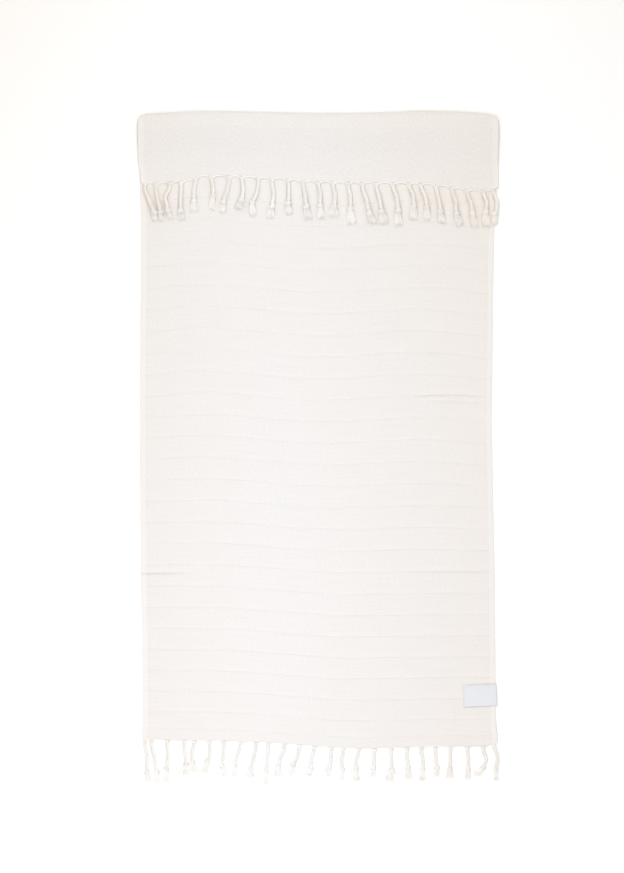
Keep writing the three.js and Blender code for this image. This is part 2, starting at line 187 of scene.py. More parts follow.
# The tassels. Each is a bundle of warp ends, gathered at the hem, twisted, knotted and cut.
GATHER_WIDTH = 0.029
GATHER_INSET = 0.0006
GATHER_LENGTH = 0.014
FLATNESS = 0.45
PLY_OFFSET = 0.0031
PLY_RADIUS = 0.0015
PLY_YARNS = 5
PLY_YARN_RADIUS = 0.0010
PLY_STEP = 0.0018
TWIST_LENGTH = 0.0135
YARN_TWIST_LENGTH = 0.045
ARCH_DROP = 0.011
KNOT_SIDE_REACH = 0.0060
KNOT_UP_REACH = 0.0037
KNOT_TURNS = 1.8
KNOT_LENGTH = 0.0075
KNOT_POINTS = 26
KNOT_BUNDLE = 0.0018
ROPE_HALF_HEIGHT = 0.0056
ROPE_LIFT_SHARE = 0.6
KNOT_HALF_HEIGHT = 0.0060
BRUSH_LOCKS = 18
BRUSH_LOCK_RADIUS = 0.0014
BRUSH_YARNS = 28
BRUSH_YARN_RADIUS = 0.00055
BRUSH_POINTS = 12
BRUSH_ROOT = 0.0036
BRUSH_LIFT_SHARE = 0.35
BRUSH_MIDDLE_HEIGHT = 0.0036
BRUSH_TIP_HEIGHT = 0.0006
BRUSH_CUT_UNEVENNESS = 0.36
YARN_SIDES = 6
YARN_WAVE = {"reach": 0.0075, "length": 0.016}
ARCH = {"yarns": 5, "half_width": 0.0013, "half_height": 0.0012, "yarn_radius": 0.0009,
        "turn_length": 0.009, "bend_drop": 0.0022, "middle_drop": 0.0009, "end": 0.003}

# One row for each tassel, from the left: where it leaves the hem, how far its middle and its
# knot lie to the right of that, how far below the hem the knot lies, how far the brush leans
# to the right, how wide and how long the brush is, and how high the knot is held up.
TASSEL_COLUMNS = ("root", "middle", "knot", "drop", "lean", "spread", "brush", "lift")
FLAP_TASSELS = read_rows(TASSEL_COLUMNS, [
    (-0.447, 0.011, 0.026, 0.078, 0, 0.015, 0.024, 0.009),
    (-0.418, 0.005, 0.013, 0.077, 0.003, 0.013, 0.025, 0.009),
    (-0.382, -0.011, -0.004, 0.075, 0.01, 0.014, 0.024, 0.008),
    (-0.353, -0.001, 0, 0.08, 0.003, 0.021, 0.024, 0.011),
    (-0.317, -0.003, -0.003, 0.06, 0, 0.031, 0.033, 0.004),
    (-0.275, 0.004, 0.004, 0.055, -0.003, 0.021, 0.038, 0.005),
    (-0.23, -0.005, -0.015, 0.069, -0.001, 0.023, 0.031, 0.006),
    (-0.197, 0.003, 0, 0.065, -0.014, 0.028, 0.027, 0.012),
    (-0.155, -0.003, -0.015, 0.067, 0.001, 0.023, 0.038, 0.007),
    (-0.12, 0.005, 0, 0.075, -0.004, 0.023, 0.031, 0.007),
    (-0.078, 0.001, 0, 0.064, 0.005, 0.021, 0.031, 0.009),
    (-0.04, 0.005, 0.008, 0.069, 0.009, 0.023, 0.036, 0.013),
    (-0.001, 0.005, 0.005, 0.064, 0.004, 0.023, 0.038, 0.008),
    (0.037, 0.005, 0.003, 0.067, -0.001, 0.038, 0.029, 0.007),
    (0.076, 0.005, 0.006, 0.069, 0.005, 0.028, 0.044, 0.006),
    (0.112, 0.01, 0.018, 0.082, 0.013, 0.023, 0.031, 0.011),
    (0.148, 0.008, 0.013, 0.077, 0.012, 0.031, 0.036, 0.011),
    (0.191, 0.01, 0.013, 0.074, 0.002, 0.026, 0.042, 0.009),
    (0.233, 0.01, 0.011, 0.062, -0.001, 0.031, 0.038, 0.007),
    (0.263, 0.01, 0.015, 0.064, 0.001, 0.023, 0.036, 0.009),
    (0.302, 0.006, 0.01, 0.072, 0.008, 0.021, 0.033, 0.01),
    (0.343, 0.008, 0.01, 0.072, 0.015, 0.028, 0.036, 0.01),
    (0.382, 0.008, 0.013, 0.066, 0.008, 0.026, 0.038, 0.009),
    (0.423, 0.008, 0.005, 0.06, 0.004, 0.028, 0.04, 0.009),
    (0.45, 0.008, 0.003, 0.064, 0.001, 0.018, 0.031, 0.008),
])
HEM_TASSELS = read_rows(TASSEL_COLUMNS, [
    (-0.446, 0.005, 0.005, 0.084, 0.005, 0.018, 0.027, 0),
    (-0.43, 0.008, 0.014, 0.083, 0.001, 0.018, 0.033, 0),
    (-0.389, 0.003, -0.003, 0.075, 0, 0.021, 0.038, 0),
    (-0.346, 0.004, 0.005, 0.064, 0, 0.021, 0.029, 0),
    (-0.32, -0.005, -0.005, 0.058, 0.008, 0.026, 0.029, 0),
    (-0.281, 0.003, -0.005, 0.055, -0.006, 0.023, 0.031, 0),
    (-0.243, -0.001, -0.005, 0.062, 0.01, 0.021, 0.035, 0),
    (-0.202, -0.006, -0.013, 0.059, -0.001, 0.018, 0.035, 0),
    (-0.161, -0.005, -0.013, 0.068, -0.004, 0.028, 0.027, 0),
    (-0.13, -0.001, -0.005, 0.074, 0.001, 0.015, 0.035, 0),
    (-0.089, -0.008, -0.015, 0.06, -0.001, 0.028, 0.028, 0),
    (-0.05, -0.005, -0.015, 0.052, -0.006, 0.023, 0.031, 0),
    (-0.012, -0.006, -0.008, 0.057, -0.004, 0.023, 0.025, 0),
    (0.032, 0, -0.006, 0.054, 0, 0.015, 0.024, 0),
    (0.063, -0.003, -0.003, 0.054, -0.001, 0.018, 0.033, 0),
    (0.102, -0.005, -0.006, 0.054, 0.003, 0.023, 0.033, 0),
    (0.143, 0, -0.003, 0.052, -0.001, 0.018, 0.025, 0),
    (0.186, 0.001, 0.001, 0.056, -0.005, 0.028, 0.035, 0),
    (0.227, 0.001, 0.003, 0.054, 0.003, 0.026, 0.031, 0),
    (0.263, 0.005, 0.004, 0.058, -0.001, 0.026, 0.033, 0),
    (0.299, 0.003, 0.004, 0.056, 0.001, 0.021, 0.025, 0),
    (0.338, 0, -0.001, 0.059, 0.001, 0.034, 0.028, 0),
    (0.382, 0.003, 0.001, 0.061, 0, 0.023, 0.028, 0),
    (0.423, 0.008, -0.003, 0.058, -0.018, 0.028, 0.025, 0),
    (0.452, 0.008, 0.003, 0.064, 0.003, 0.016, 0.033, 0),
])

# Thin wisps that have come loose from the hem's brushes: the tassel that each leaves, and
# where it bends and ends, to the right of the knot and below it.
LOOSE_WISPS = read_rows(("tassel", "bend_x", "bend_y", "end_x", "end_y"), [
    (3, -0.01, -0.012, -0.023, -0.027),
    (5, -0.009, -0.014, -0.021, -0.031),
    (13, -0.009, -0.006, -0.021, -0.016),
    (17, 0.018, -0.012, 0.028, -0.01),
    (23, -0.016, -0.01, -0.024, -0.024),
])
WISP_YARNS = 7
WISP_YARN_RADIUS = 0.0007
WISP_SPREAD = 0.0018

# The two fringes: the layer, the hem's straight run and line, the height of the warp ends as
# they leave the hem, the height that the tassels rest at, and the way the ropes are twisted.
FRINGES = (
    {
        "name": "flap", "node": "fringe_flap", "edges": FLAP_EDGES, "hem": FLAP_HEM_Y,
        "line": "flap_hem", "start": FLAP_HEM_HEIGHT - CLOTH_THICKNESS / 2, "rest": 0.0027,
        "twist": -1, "tassels": FLAP_TASSELS, "seed": 11,
    },
    {
        "name": "hem", "node": "fringe_hem", "edges": LOWER_EDGES, "hem": HEM_Y,
        "line": "hem", "start": CLOTH_THICKNESS / 2, "rest": 0.0001,
        "twist": 1, "tassels": HEM_TASSELS, "seed": 23,
    },
)

# The blank label, sewn flat across the right selvedge.
LABEL = {"width": 0.087, "height": 0.057, "thickness": 0.0007, "x": 0.415, "y": -0.633, "turn": 0.055}
LABEL_REST = 0.0029
STITCH = {"spacing": 0.0034, "length": 0.0024, "radius": 0.00032, "inset": 0.0018}

# The photograph's view: straight down, 624 by 873 pixels at 2.57 mm a pixel.
VIEW_LENS = 70
VIEW_SENSOR = 36
VIEW_HEIGHT = 873 * 0.00257
VIEW_CENTRE = (-0.0167, 0.0321)

low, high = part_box("cloth")
TOWEL_SHIFT = np.array([low.x - LEFTMOST_X, high.y - FURTHEST_Y, 0.0])


# Reading the tables

def gentle_slopes(knots, values):
    """The slope at each knot, flat where the values turn, so that no line overshoots them."""
    widths = np.diff(knots).reshape((-1,) + (1,) * (values.ndim - 1))
    steps = np.diff(values, axis=0) / widths
    before, after = steps[:-1], steps[1:]
    same_way = before * after > 0
    sums = np.where(same_way, before + after, 1)
    return np.concatenate([steps[:1], np.where(same_way, 2 * before * after / sums, 0), steps[-1:]])


def smooth_between(knots, values, places):
    """Values at some places, on a smooth line through the knots."""
    values = np.asarray(values, float)
    slopes = gentle_slopes(knots, values)
    held = np.clip(np.asarray(places, float), knots[0], knots[-1])
    k = np.clip(np.searchsorted(knots, held, side="right") - 1, 0, len(knots) - 2)
    shape = held.shape + (1,) * (values.ndim - 1)
    width = (knots[k + 1] - knots[k]).reshape(shape)
    t = (held - knots[k]).reshape(shape) / width
    start = (2 * t**3 - 3 * t**2 + 1) * values[k] + (t**3 - 2 * t**2 + t) * width * slopes[k]
    end = (3 * t**2 - 2 * t**3) * values[k + 1] + (t**3 - t**2) * width * slopes[k + 1]
    return start + end


def line_through(points, step):
    """Evenly spaced points on a smooth line through a few places, and their distance along it."""
    points = np.asarray(points, float)
    chords = np.linalg.norm(np.diff(points, axis=0), axis=1)
    knots = np.concatenate([[0], np.cumsum(chords)])
    fine = smooth_between(knots, points, np.linspace(0, knots[-1], 200))
    along = np.concatenate([[0], np.cumsum(np.linalg.norm(np.diff(fine, axis=0), axis=1))])
    places = np.linspace(0, along[-1], max(3, round(along[-1] / step) + 1))
    return np.stack([np.interp(places, along, fine[:, i]) for i in range(3)], axis=1), places


def ripple(x, y, wavelength, seed):
    """Soft random waves between -1 and 1, the same on each run."""
    random = np.random.default_rng(seed)
    total = np.zeros(np.broadcast(x, y).shape)
    for _ in range(6):
        angle, phase = random.uniform(0, 2 * math.pi, 2)
        run = x * math.cos(angle) + y * math.sin(angle)
        total += np.sin(2 * math.pi * run / (wavelength * random.uniform(0.7, 1.5)) + phase)
    return np.clip(total / 3, -1, 1)


def soft_step(share):
    held = np.clip(share, 0, 1)
    return held * held * (3 - 2 * held)


def bell(distance, width):
    """A soft hump: 1 in the middle, and almost gone at twice its width."""
    return np.exp(-((distance / width) ** 2))


def filled(places, step):
    """Sorted places without near doubles, and more of them wherever two lie far apart."""
    places = np.sort(places)
    places = places[np.concatenate([[True], np.diff(places) > 0.0003])]
    rows = [places[:1]]
    for near, far in zip(places[:-1], places[1:]):
        rows.append(np.linspace(near, far, max(1, round((far - near) / step)) + 1)[1:])
    return np.concatenate(rows)


# The cloth

def line_shift(lines, x, s):
    """How far each place is shifted along the towel by the lines around it."""
    table = [smooth_between(STATIONS["x"], STATIONS[name], x) + more for _, name, more in lines]
    table = np.stack(table)
    marks = np.array([y for y, _, _ in lines])
    k = np.clip(np.searchsorted(marks, s, side="right") - 1, 0, len(marks) - 2)
    share = np.clip((s - marks[k]) / (marks[k + 1] - marks[k]), 0, 1)[:, None]
    return table[k] * (1 - share) + table[k + 1] * share


def lay_out(lines, edges, x, s):
    """Where straight places, x across the cloth and s along it, lie on the towel."""
    across = x[None, :] / CLOTH_WIDTH + 0.5
    left = smooth_between(edges["y"], edges["left"], s)[:, None]
    right = smooth_between(edges["y"], edges["right"], s)[:, None]
    return left + (right - left) * across, s[:, None] + line_shift(lines, x, s)


def rib_height(distance):
    """A rib's height at a distance from its line, positive towards the fold."""
    rise = np.clip(1 - distance / RIB_RISE, 0, 1) ** 2
    fall = np.clip(1 + distance / RIB_FALL, 0, 1) ** 1.5
    return RIB_SWELL * np.where(distance > 0, rise, fall) + RIB_CORD * bell(distance, RIB_CORD_WIDTH)


def ribs_on(x, s, places, seed):
    """All the ribs on one layer, each a little uneven along its run."""
    on_selvedge = soft_step((np.abs(x) - INNER_HALF) / 0.002 + 0.5)
    share = 1 - on_selvedge * (1 - RIB_ON_SELVEDGE)
    total = np.zeros((len(s), len(x)))
    for i, place in enumerate(places):
        uneven = 1.0
        for k, wave in enumerate(RIB_UNEVENNESS):
            uneven = uneven + wave["share"] * ripple(x, 0, wave["wavelength"], seed + 50 * k + i)
        waver = RIB_WAVER * ripple(x, 0, RIB_WAVER_LENGTH, seed + 80 + i)
        total += rib_height(s[:, None] - place - waver[None, :]) * (share * uneven)[None, :]
    return total


def creases_on(x, s):
    """How far the packing creases lift both faces of the lower layer."""
    total = np.zeros((len(s), len(x)))
    for crease in CREASES:
        distance = s[:, None] - crease["y"] - crease["tilt"] * (x[None, :] - CREASE_MIDDLE)
        rise = np.clip(1 - distance / crease["rise"], 0, 1) ** 1.6
        fall = np.clip(1 + distance / crease["fall"], 0, 1)
        profile = np.where(distance > 0, rise, fall)
        reach = np.clip(smooth_between(STATIONS["x"], STATIONS[crease["reach"]], x), 0, 1)
        total += crease["height"] * profile * reach[None, :]
    return total


def corner_on(x, y):
    """The turned-up selvedge at the lower right: what lifts both faces, and its groove."""
    strength = np.interp(y, CORNER_CREASE["y"], CORNER_CREASE["strength"])
    beside = x - np.interp(y, CORNER_CREASE["y"], CORNER_CREASE["x"])
    ridge = CORNER_RIDGE["height"] * strength * bell(beside - CORNER_RIDGE["beside"], CORNER_RIDGE["width"])
    return ridge, CORNER_GROOVE["depth"] * strength * bell(beside, CORNER_GROOVE["width"])


def pull_of(tassels, x, reach):
    """A share of 1 at each tassel's root across the towel, fading out to both sides."""
    return bell(x[..., None] - tassels["root"], reach).sum(-1)


def drawn_hem(x, y, from_hem, tassels):
    """The rows near a hem, pulled out at each tassel's root, and the dimples above the roots."""
    fade = np.exp(-from_hem / HEM_PULL["fade"])[:, None]
    y = y - HEM_PULL["depth"] * fade * pull_of(tassels, x, HEM_PULL["reach"])
    depth = bell(from_hem - 0.010, 0.005) + 0.6 * bell(from_hem - 0.012, 0.018)
    return y, depth[:, None] * pull_of(tassels, x, DIMPLE["reach"])


def columns():
    """Places across the cloth, closer together at the two selvedges."""
    half = CLOTH_WIDTH / 2
    edge = np.array([0, 0.0003, 0.0009, 0.003, 0.007, 0.0115, 0.0138, 0.015, 0.0162, 0.0185, 0.023])
    return filled(np.concatenate([-half + edge, half - edge]), COLUMN_STEP)


def edge_share(distance):
    """The share of its thickness that the cloth has at a distance from a rounded edge."""
    inside = np.clip(1 - distance / EDGE_ROUNDING, 0, 1)
    return np.maximum(np.sqrt(1 - inside**2), 0.3)


def lower_rows():
    ribs = FIRST_RIB_Y + RIB_SPACING * np.arange(RIB_COUNT)
    places = [HEM_Y + np.array([0, 0.0003, 0.0009, 0.003, 0.007, 0.012, 0.018])]
    places += [rib + np.array(RIB_ROWS) for rib in (*ribs, HEM_RIB_Y)]
    for crease in CREASES:
        places.append(crease["y"] + crease["rise"] * np.array(CREASE_ROWS))
        places.append(crease["y"] - crease["fall"] * np.array(CREASE_ROWS))
    places.append([FOLD_Y - FOLD_REACH - 0.004])
    return filled(np.concatenate(places), ROW_STEP), ribs


def flap_rows():
    places = [FLAP_HEM_Y + np.array([0, 0.0003, 0.0009, 0.0022, 0.0036, 0.005, 0.008, 0.013, 0.019])]
    places += [rib + np.array(RIB_ROWS[2:]) for rib in FLAP_RIBS]
    places.append([FOLD_Y - FOLD_REACH - 0.002])
    return filled(np.concatenate(places), 0.006)[::-1]


def lower_layer(x):
    """Both faces of the lower layer, from the hem to where the roll begins."""
    s, ribs = lower_rows()
    laid_x, laid_y = lay_out(LOWER_LINES, LOWER_EDGES, x, s)
    laid_y, dimples = drawn_hem(laid_x, laid_y, s - HEM_Y, HEM_TASSELS)
    nicks = bell(s[:, None] - ribs, SELVEDGE_NICK["length"]).sum(1)[:, None]
    nicks = nicks * np.exp(-(CLOTH_WIDTH / 2 - x[None, :]) / SELVEDGE_NICK["fade"])
    laid_x = laid_x - SELVEDGE_NICK["depth"] * nicks
    open_share = soft_step((FLAP_HEM_Y - s) / 0.05)[:, None]
    wave = LOWER_WAVE["lift"] * (1 + ripple(laid_x, laid_y, LOWER_WAVE["length"], 3)) / 2
    ridge, groove = corner_on(laid_x, laid_y)
    lift = wave * open_share + creases_on(x, s) + ridge
    relief = ribs_on(x, s, ribs, 100) + HEM_RIB_SHARE * ribs_on(x, s, [HEM_RIB_Y], 200)
    relief = relief - groove - DIMPLE["lower"] * dimples
    relief = relief - SELVEDGE_GROOVE["depth"] * bell(np.abs(x) - INNER_HALF, SELVEDGE_GROOVE["width"])
    under = np.stack([laid_x, laid_y, lift], axis=-1)
    upper = np.stack([laid_x, laid_y, lift + CLOTH_THICKNESS + relief], axis=-1)
    return under, upper, s - HEM_Y


def roll_lift(x):
    """How much higher than usual the roll stands along the fold."""
    wave = ROLL_WAVE["lift"] * ripple(x, 0, ROLL_WAVE["length"], 9)
    return smooth_between(STATIONS["x"], STATIONS["roll"], x) + wave


def rolled_fold(x, begin):
    """Both faces of the rolled fold, which is half an ellipse seen from the side."""
    angle = np.linspace(-math.pi / 2, math.pi / 2, FOLD_STEPS + 1)[1:-1]
    on_flap = (angle > 0)[:, None]
    lift = soft_step(angle / math.pi + 0.5)[:, None] * roll_lift(x)[None, :]
    faces = []
    for inset in (0, CLOTH_THICKNESS):
        s = FOLD_Y - FOLD_REACH + (FOLD_REACH - inset) * np.cos(angle)
        z = FOLD_RADIUS + (FOLD_RADIUS - inset) * np.sin(angle)
        low_x, low_y = lay_out(LOWER_LINES, LOWER_EDGES, x, s)
        flap_x, flap_y = lay_out(FLAP_LINES, FLAP_EDGES, x, s)
        laid = (np.where(on_flap, flap_x, low_x), np.where(on_flap, flap_y, low_y), z[:, None] + lift)
        faces.append(np.stack(laid, axis=-1))
    half_turn = math.pi * (FOLD_RADIUS + FOLD_REACH) / 2
    return faces[0], faces[1], begin + half_turn * (angle / math.pi + 0.5)


def flap_layer(x, begin):
    """Both faces of the flap, from the crest of the roll down to its hem."""
    s = flap_rows()
    from_hem = s - FLAP_HEM_Y
    laid_x, laid_y = lay_out(FLAP_LINES, FLAP_EDGES, x, s)
    laid_y, dimples = drawn_hem(laid_x, laid_y, from_hem, FLAP_TASSELS)
    height = smooth_between(FLAP_PROFILE["from_fold"], FLAP_PROFILE["height"], FOLD_Y - s)
    roll_share = np.clip((height - FLAP_HEM_HEIGHT) / (2 * FOLD_RADIUS - FLAP_HEM_HEIGHT), 0, 1)
    wave = FLAP_WAVE["lift"] * (1 + ripple(laid_x, laid_y * 1.4, FLAP_WAVE["length"], 5)) / 2
    wave = wave * (soft_step(from_hem / 0.045) * soft_step((FOLD_Y - FOLD_REACH - s) / 0.02))[:, None]
    lift = height[:, None] + roll_share[:, None] * roll_lift(x)[None, :] + wave
    hem_roll = FLAP_HEM_ROLL["height"] * bell(from_hem - FLAP_HEM_ROLL["from_hem"], FLAP_HEM_ROLL["width"])
    relief = FLAP_RIB_SHARE * ribs_on(x, s, FLAP_RIBS, 300) + hem_roll[:, None] - DIMPLE["flap"] * dimples
    over = np.stack([laid_x, laid_y, lift + relief], axis=-1)
    below = np.stack([laid_x, laid_y, lift - CLOTH_THICKNESS], axis=-1)
    return over, below, begin + (FOLD_Y - FOLD_REACH - s)


def new_object(name, data):
    piece = bpy.data.objects.new(name, data)
    bpy.context.collection.objects.link(piece)
    return piece


def closed_sheet(name, back, front, across, along, material):
    """A thin closed sheet between two grids of points. Rows run along it, columns across.
    Its UV map is in metres, and the attribute back_face is 1 on the back."""
    rows, count = back.shape[:2]
    points = np.concatenate([back.reshape(-1, 3), front.reshape(-1, 3)]) + TOWEL_SHIFT
    index = np.arange(rows * count).reshape(rows, count)
    a, b, c, d = index[:-1, :-1], index[:-1, 1:], index[1:, 1:], index[1:, :-1]
    behind = np.stack([d, c, b, a], axis=-1).reshape(-1, 4)
    ahead = np.stack([a, b, c, d], axis=-1).reshape(-1, 4) + rows * count
    rims = []
    for line, turned in ((index[:, 0], False), (index[:, -1], True), (index[0], True), (index[-1], False)):
        near, far = line[:-1], line[1:]
        rim = np.stack([near + rows * count, far + rows * count, far, near], axis=-1)
        rims.append(rim[:, ::-1] if turned else rim)
    faces = np.concatenate([behind, ahead, *rims])
    mesh = bpy.data.meshes.new(name)
    mesh.from_pydata(points.tolist(), [], faces.tolist())
    mesh.update()
    places = np.stack(np.broadcast_arrays(across[None, :], along[:, None]), axis=-1).reshape(-1, 2)
    places = np.concatenate([places, places])
    corners = np.zeros(len(mesh.loops), np.int32)
    mesh.loops.foreach_get("vertex_index", corners)
    mesh.uv_layers.new(name="cloth_metres").data.foreach_set("uv", places[corners].ravel())
    side = np.repeat([1.0, 0.0], rows * count)
    mesh.attributes.new("back_face", "FLOAT", "POINT").data.foreach_set("value", side)
    mesh.shade_smooth()
    mesh.materials.append(material)
    return new_object(name, mesh)


def towel_cloth(material):
    """The towel's one length of cloth, from hem to hem."""
    x = columns()
    layers = [lower_layer(x)]
    layers.append(rolled_fold(x, layers[0][2][-1] + 0.004))
    layers.append(flap_layer(x, layers[1][2][-1] + 0.001))
    back, front, along = (np.concatenate([layer[i] for layer in layers]) for i in range(3))
    from_side = CLOTH_WIDTH / 2 - np.abs(x)
    from_end = np.minimum(along, along[-1] - along)
    share = np.minimum(edge_share(from_side)[None, :], edge_share(from_end)[:, None])[..., None]
    middle = (back + front) / 2
    back = middle + (back - middle) * share
    front = middle + (front - middle) * share
    return closed_sheet("towel_cloth", back, front, x, along, material)


# Node trees

def socket_of(sockets, name):
    """A node's enabled socket, by its name or by its number among the enabled ones."""
    enabled = [socket for socket in sockets if socket.enabled]
    return enabled[name] if isinstance(name, int) else next(s for s in enabled if s.name == name)


def add(tree, kind, inputs=(), operation=None, **settings):
    """Adds a node with its settings. Its inputs are named, or else in order, and each is a
    value, a socket, or a node whose first output it takes."""
    node = tree.nodes.new(kind)
    if operation:
        node.operation = operation
    for name, value in settings.items():
        setattr(node, name, value)
    for name, value in inputs.items() if isinstance(inputs, dict) else enumerate(inputs):
        target = socket_of(node.inputs, name)
        if isinstance(value, bpy.types.Node):
            tree.links.new(socket_of(value.outputs, 0), target)
        elif isinstance(value, bpy.types.NodeSocket):
            tree.links.new(value, target)
        else:
            target.default_value = value
    return node


def linear(code):
    """The linear colour of an sRGB hex code."""
    parts = [int(code[i:i + 2], 16) / 255 for i in (1, 3, 5)]
    return [v / 12.92 if v <= 0.04045 else ((v + 0.055) / 1.055) ** 2.4 for v in parts] + [1.0]


def new_material(name, **settings):
    """A node material with a Principled shader, its constant sockets set."""
    material = bpy.data.materials.new(name)
    material.use_nodes = True
    shader = material.node_tree.nodes["Principled BSDF"]
    for socket, value in settings.items():
        shader.inputs[socket.replace("_", " ")].default_value = value
    return material, material.node_tree, shader


# Geometry Nodes for yarns

GOLDEN_ANGLE = 2.39996
BUNDLE_FIELDS = ("strands", "filling", "turn", "half_width", "half_height", "loose", "thickness", "bundle")


def new_group(name, inputs):
    """An empty geometry tree with named inputs, and its input node."""
    tree = bpy.data.node_groups.new(name, "GeometryNodeTree")
    tree.interface.new_socket("Geometry", in_out="INPUT", socket_type="NodeSocketGeometry")
    tree.interface.new_socket("Geometry", in_out="OUTPUT", socket_type="NodeSocketGeometry")
    for socket, kind in inputs.items():
        tree.interface.new_socket(socket, in_out="INPUT", socket_type=f"NodeSocket{kind}")
    return tree, tree.nodes.new("NodeGroupInput")


def yarn_tree():
    """Lays yarns side by side along each line of the mesh, as its points' attributes say, and
    gives every yarn its round body."""
    tree, given = new_group("Yarn bundles", {
        "Yarn Sides": "Int", "Waviness": "Float", "Wave Length": "Float", "Cut Unevenness": "Float",
        "Rest Height": "Float", "Flatness": "Float", "Seed": "Int", "Material": "Material",
    })
    field = {name: add(tree, "GeometryNodeInputNamedAttribute", {"Name": name}, data_type="FLOAT")
             for name in BUNDLE_FIELDS}
    side, up = (add(tree, "GeometryNodeInputNamedAttribute", {"Name": name}, data_type="FLOAT_VECTOR")
                for name in ("side", "up"))
    lines = add(tree, "GeometryNodeMeshToCurve", {"Mesh": given.outputs["Geometry"]})
    yarns = add(tree, "GeometryNodeDuplicateElements",
                {"Geometry": lines, "Amount": field["strands"]}, domain="SPLINE")
    number = yarns.outputs["Duplicate Index"]
    identity = add(tree, "ShaderNodeMath", [field["bundle"], 1000.0, number],
                   "MULTIPLY_ADD")

    # Each yarn's own place in the bundle's cross-section: a ring, or an evenly filled disc.
    part = add(tree, "ShaderNodeMath", [number, 0.5], "ADD")
    part = add(tree, "ShaderNodeMath", [part, field["strands"]], "DIVIDE")
    radius = add(tree, "ShaderNodeMath", [part, field["filling"]], "POWER")
    golden = add(tree, "ShaderNodeMath", [number, GOLDEN_ANGLE, field["turn"]], "MULTIPLY_ADD")
    even = add(tree, "ShaderNodeMath", [part, 2 * math.pi, field["turn"]], "MULTIPLY_ADD")
    in_ring = add(tree, "FunctionNodeCompare", [field["filling"], 0.25],
                  data_type="FLOAT", operation="LESS_THAN")
    angle = add(tree, "GeometryNodeSwitch", [in_ring, golden, even], input_type="FLOAT")
    offset = None
    for direction, wave, reach in ((side, "COSINE", "half_width"), (up, "SINE", "half_height")):
        share = add(tree, "ShaderNodeMath", [angle], operation=wave)
        share = add(tree, "ShaderNodeMath", [share, radius], "MULTIPLY")
        share = add(tree, "ShaderNodeMath", [share, field[reach]], "MULTIPLY")
        moved = add(tree, "ShaderNodeVectorMath", {0: direction, "Scale": share}, "SCALE")
        offset = moved if offset is None else add(
            tree, "ShaderNodeVectorMath", [offset, moved], "ADD")
    yarns = add(tree, "GeometryNodeSetPosition", {"Geometry": yarns, "Offset": offset})

    # Loose yarns wander, each in its own way.
    own = add(tree, "FunctionNodeRandomValue",
              {"Min": (-9.0, -9.0, -9.0), "Max": (9.0, 9.0, 9.0), "ID": identity,
               "Seed": given.outputs["Seed"]}, data_type="FLOAT_VECTOR")
    here = add(tree, "GeometryNodeInputPosition")
    stretch = add(tree, "ShaderNodeMath", [1.0, given.outputs["Wave Length"]], "DIVIDE")
    there = add(tree, "ShaderNodeVectorMath", {0: here, "Scale": stretch}, "SCALE")
    there = add(tree, "ShaderNodeVectorMath", [there, own], "ADD")
    noise = add(tree, "ShaderNodeTexNoise", {"Vector": there, "Scale": 1.0, "Detail": 1.0})
    wander = add(tree, "ShaderNodeVectorMath", [noise.outputs["Color"], (0.5, 0.5, 0.5)],
                 "SUBTRACT")
    amount = add(tree, "ShaderNodeMath", [given.outputs["Waviness"], field["loose"]],
                 "MULTIPLY")
    wander = add(tree, "ShaderNodeVectorMath", {0: wander, "Scale": amount}, "SCALE")
    yarns = add(tree, "GeometryNodeSetPosition", {"Geometry": yarns, "Offset": wander})

    # No yarn sinks below the height that the bundle rests at.
    axes = add(tree, "ShaderNodeSeparateXYZ", [here])
    lowest = add(tree, "ShaderNodeMath", [given.outputs["Rest Height"], field["thickness"]],
                 "ADD")
    height = add(tree, "ShaderNodeMath", [axes.outputs["Z"], lowest], "MAXIMUM")
    rested = add(tree, "ShaderNodeCombineXYZ", [axes.outputs["X"], axes.outputs["Y"], height])
    yarns = add(tree, "GeometryNodeSetPosition", {"Geometry": yarns, "Position": rested})

    # The cut ends are uneven.
    chance = add(tree, "FunctionNodeRandomValue",
                 {"Min": 0.0, "Max": 1.0, "ID": identity, "Seed": given.outputs["Seed"]}, data_type="FLOAT")
    shorter = add(tree, "ShaderNodeMath", [chance, given.outputs["Cut Unevenness"]],
                  "MULTIPLY")
    end = add(tree, "ShaderNodeMath", [1.0, shorter], "SUBTRACT")
    yarns = add(tree, "GeometryNodeTrimCurve", {"Curve": yarns, "End": end}, mode="FACTOR")

    length = add(tree, "GeometryNodeSplineParameter")
    for name, value in (("along", length.outputs["Length"]), ("tone", socket_of(chance.outputs, 0))):
        yarns = add(tree, "GeometryNodeStoreNamedAttribute",
                    {"Geometry": yarns, "Name": name, "Value": value}, data_type="FLOAT", domain="POINT")
    profile = add(tree, "GeometryNodeCurvePrimitiveCircle",
                  {"Resolution": given.outputs["Yarn Sides"], "Radius": 1.0})
    body = add(tree, "GeometryNodeCurveToMesh",
               {"Curve": yarns, "Profile Curve": profile, "Scale": field["thickness"], "Fill Caps": True})

    # The whole bundle is soft and lies flattened on what it rests on.
    height = add(tree, "ShaderNodeMath", [axes.outputs["Z"], given.outputs["Rest Height"]],
                 "SUBTRACT")
    height = add(tree, "ShaderNodeMath", {0: height, 1: given.outputs["Flatness"],
                 2: given.outputs["Rest Height"]}, "MULTIPLY_ADD")
    flattened = add(tree, "ShaderNodeCombineXYZ", [axes.outputs["X"], axes.outputs["Y"], height])
    body = add(tree, "GeometryNodeSetPosition", {"Geometry": body, "Position": flattened})
    body = add(tree, "GeometryNodeSetShadeSmooth", {"Geometry": body})
    body = add(tree, "GeometryNodeRealizeInstances", {"Geometry": body})
    body = add(tree, "GeometryNodeSetMaterial", {"Geometry": body, "Material": given.outputs["Material"]})
    add(tree, "NodeGroupOutput", {"Geometry": body})
    return tree


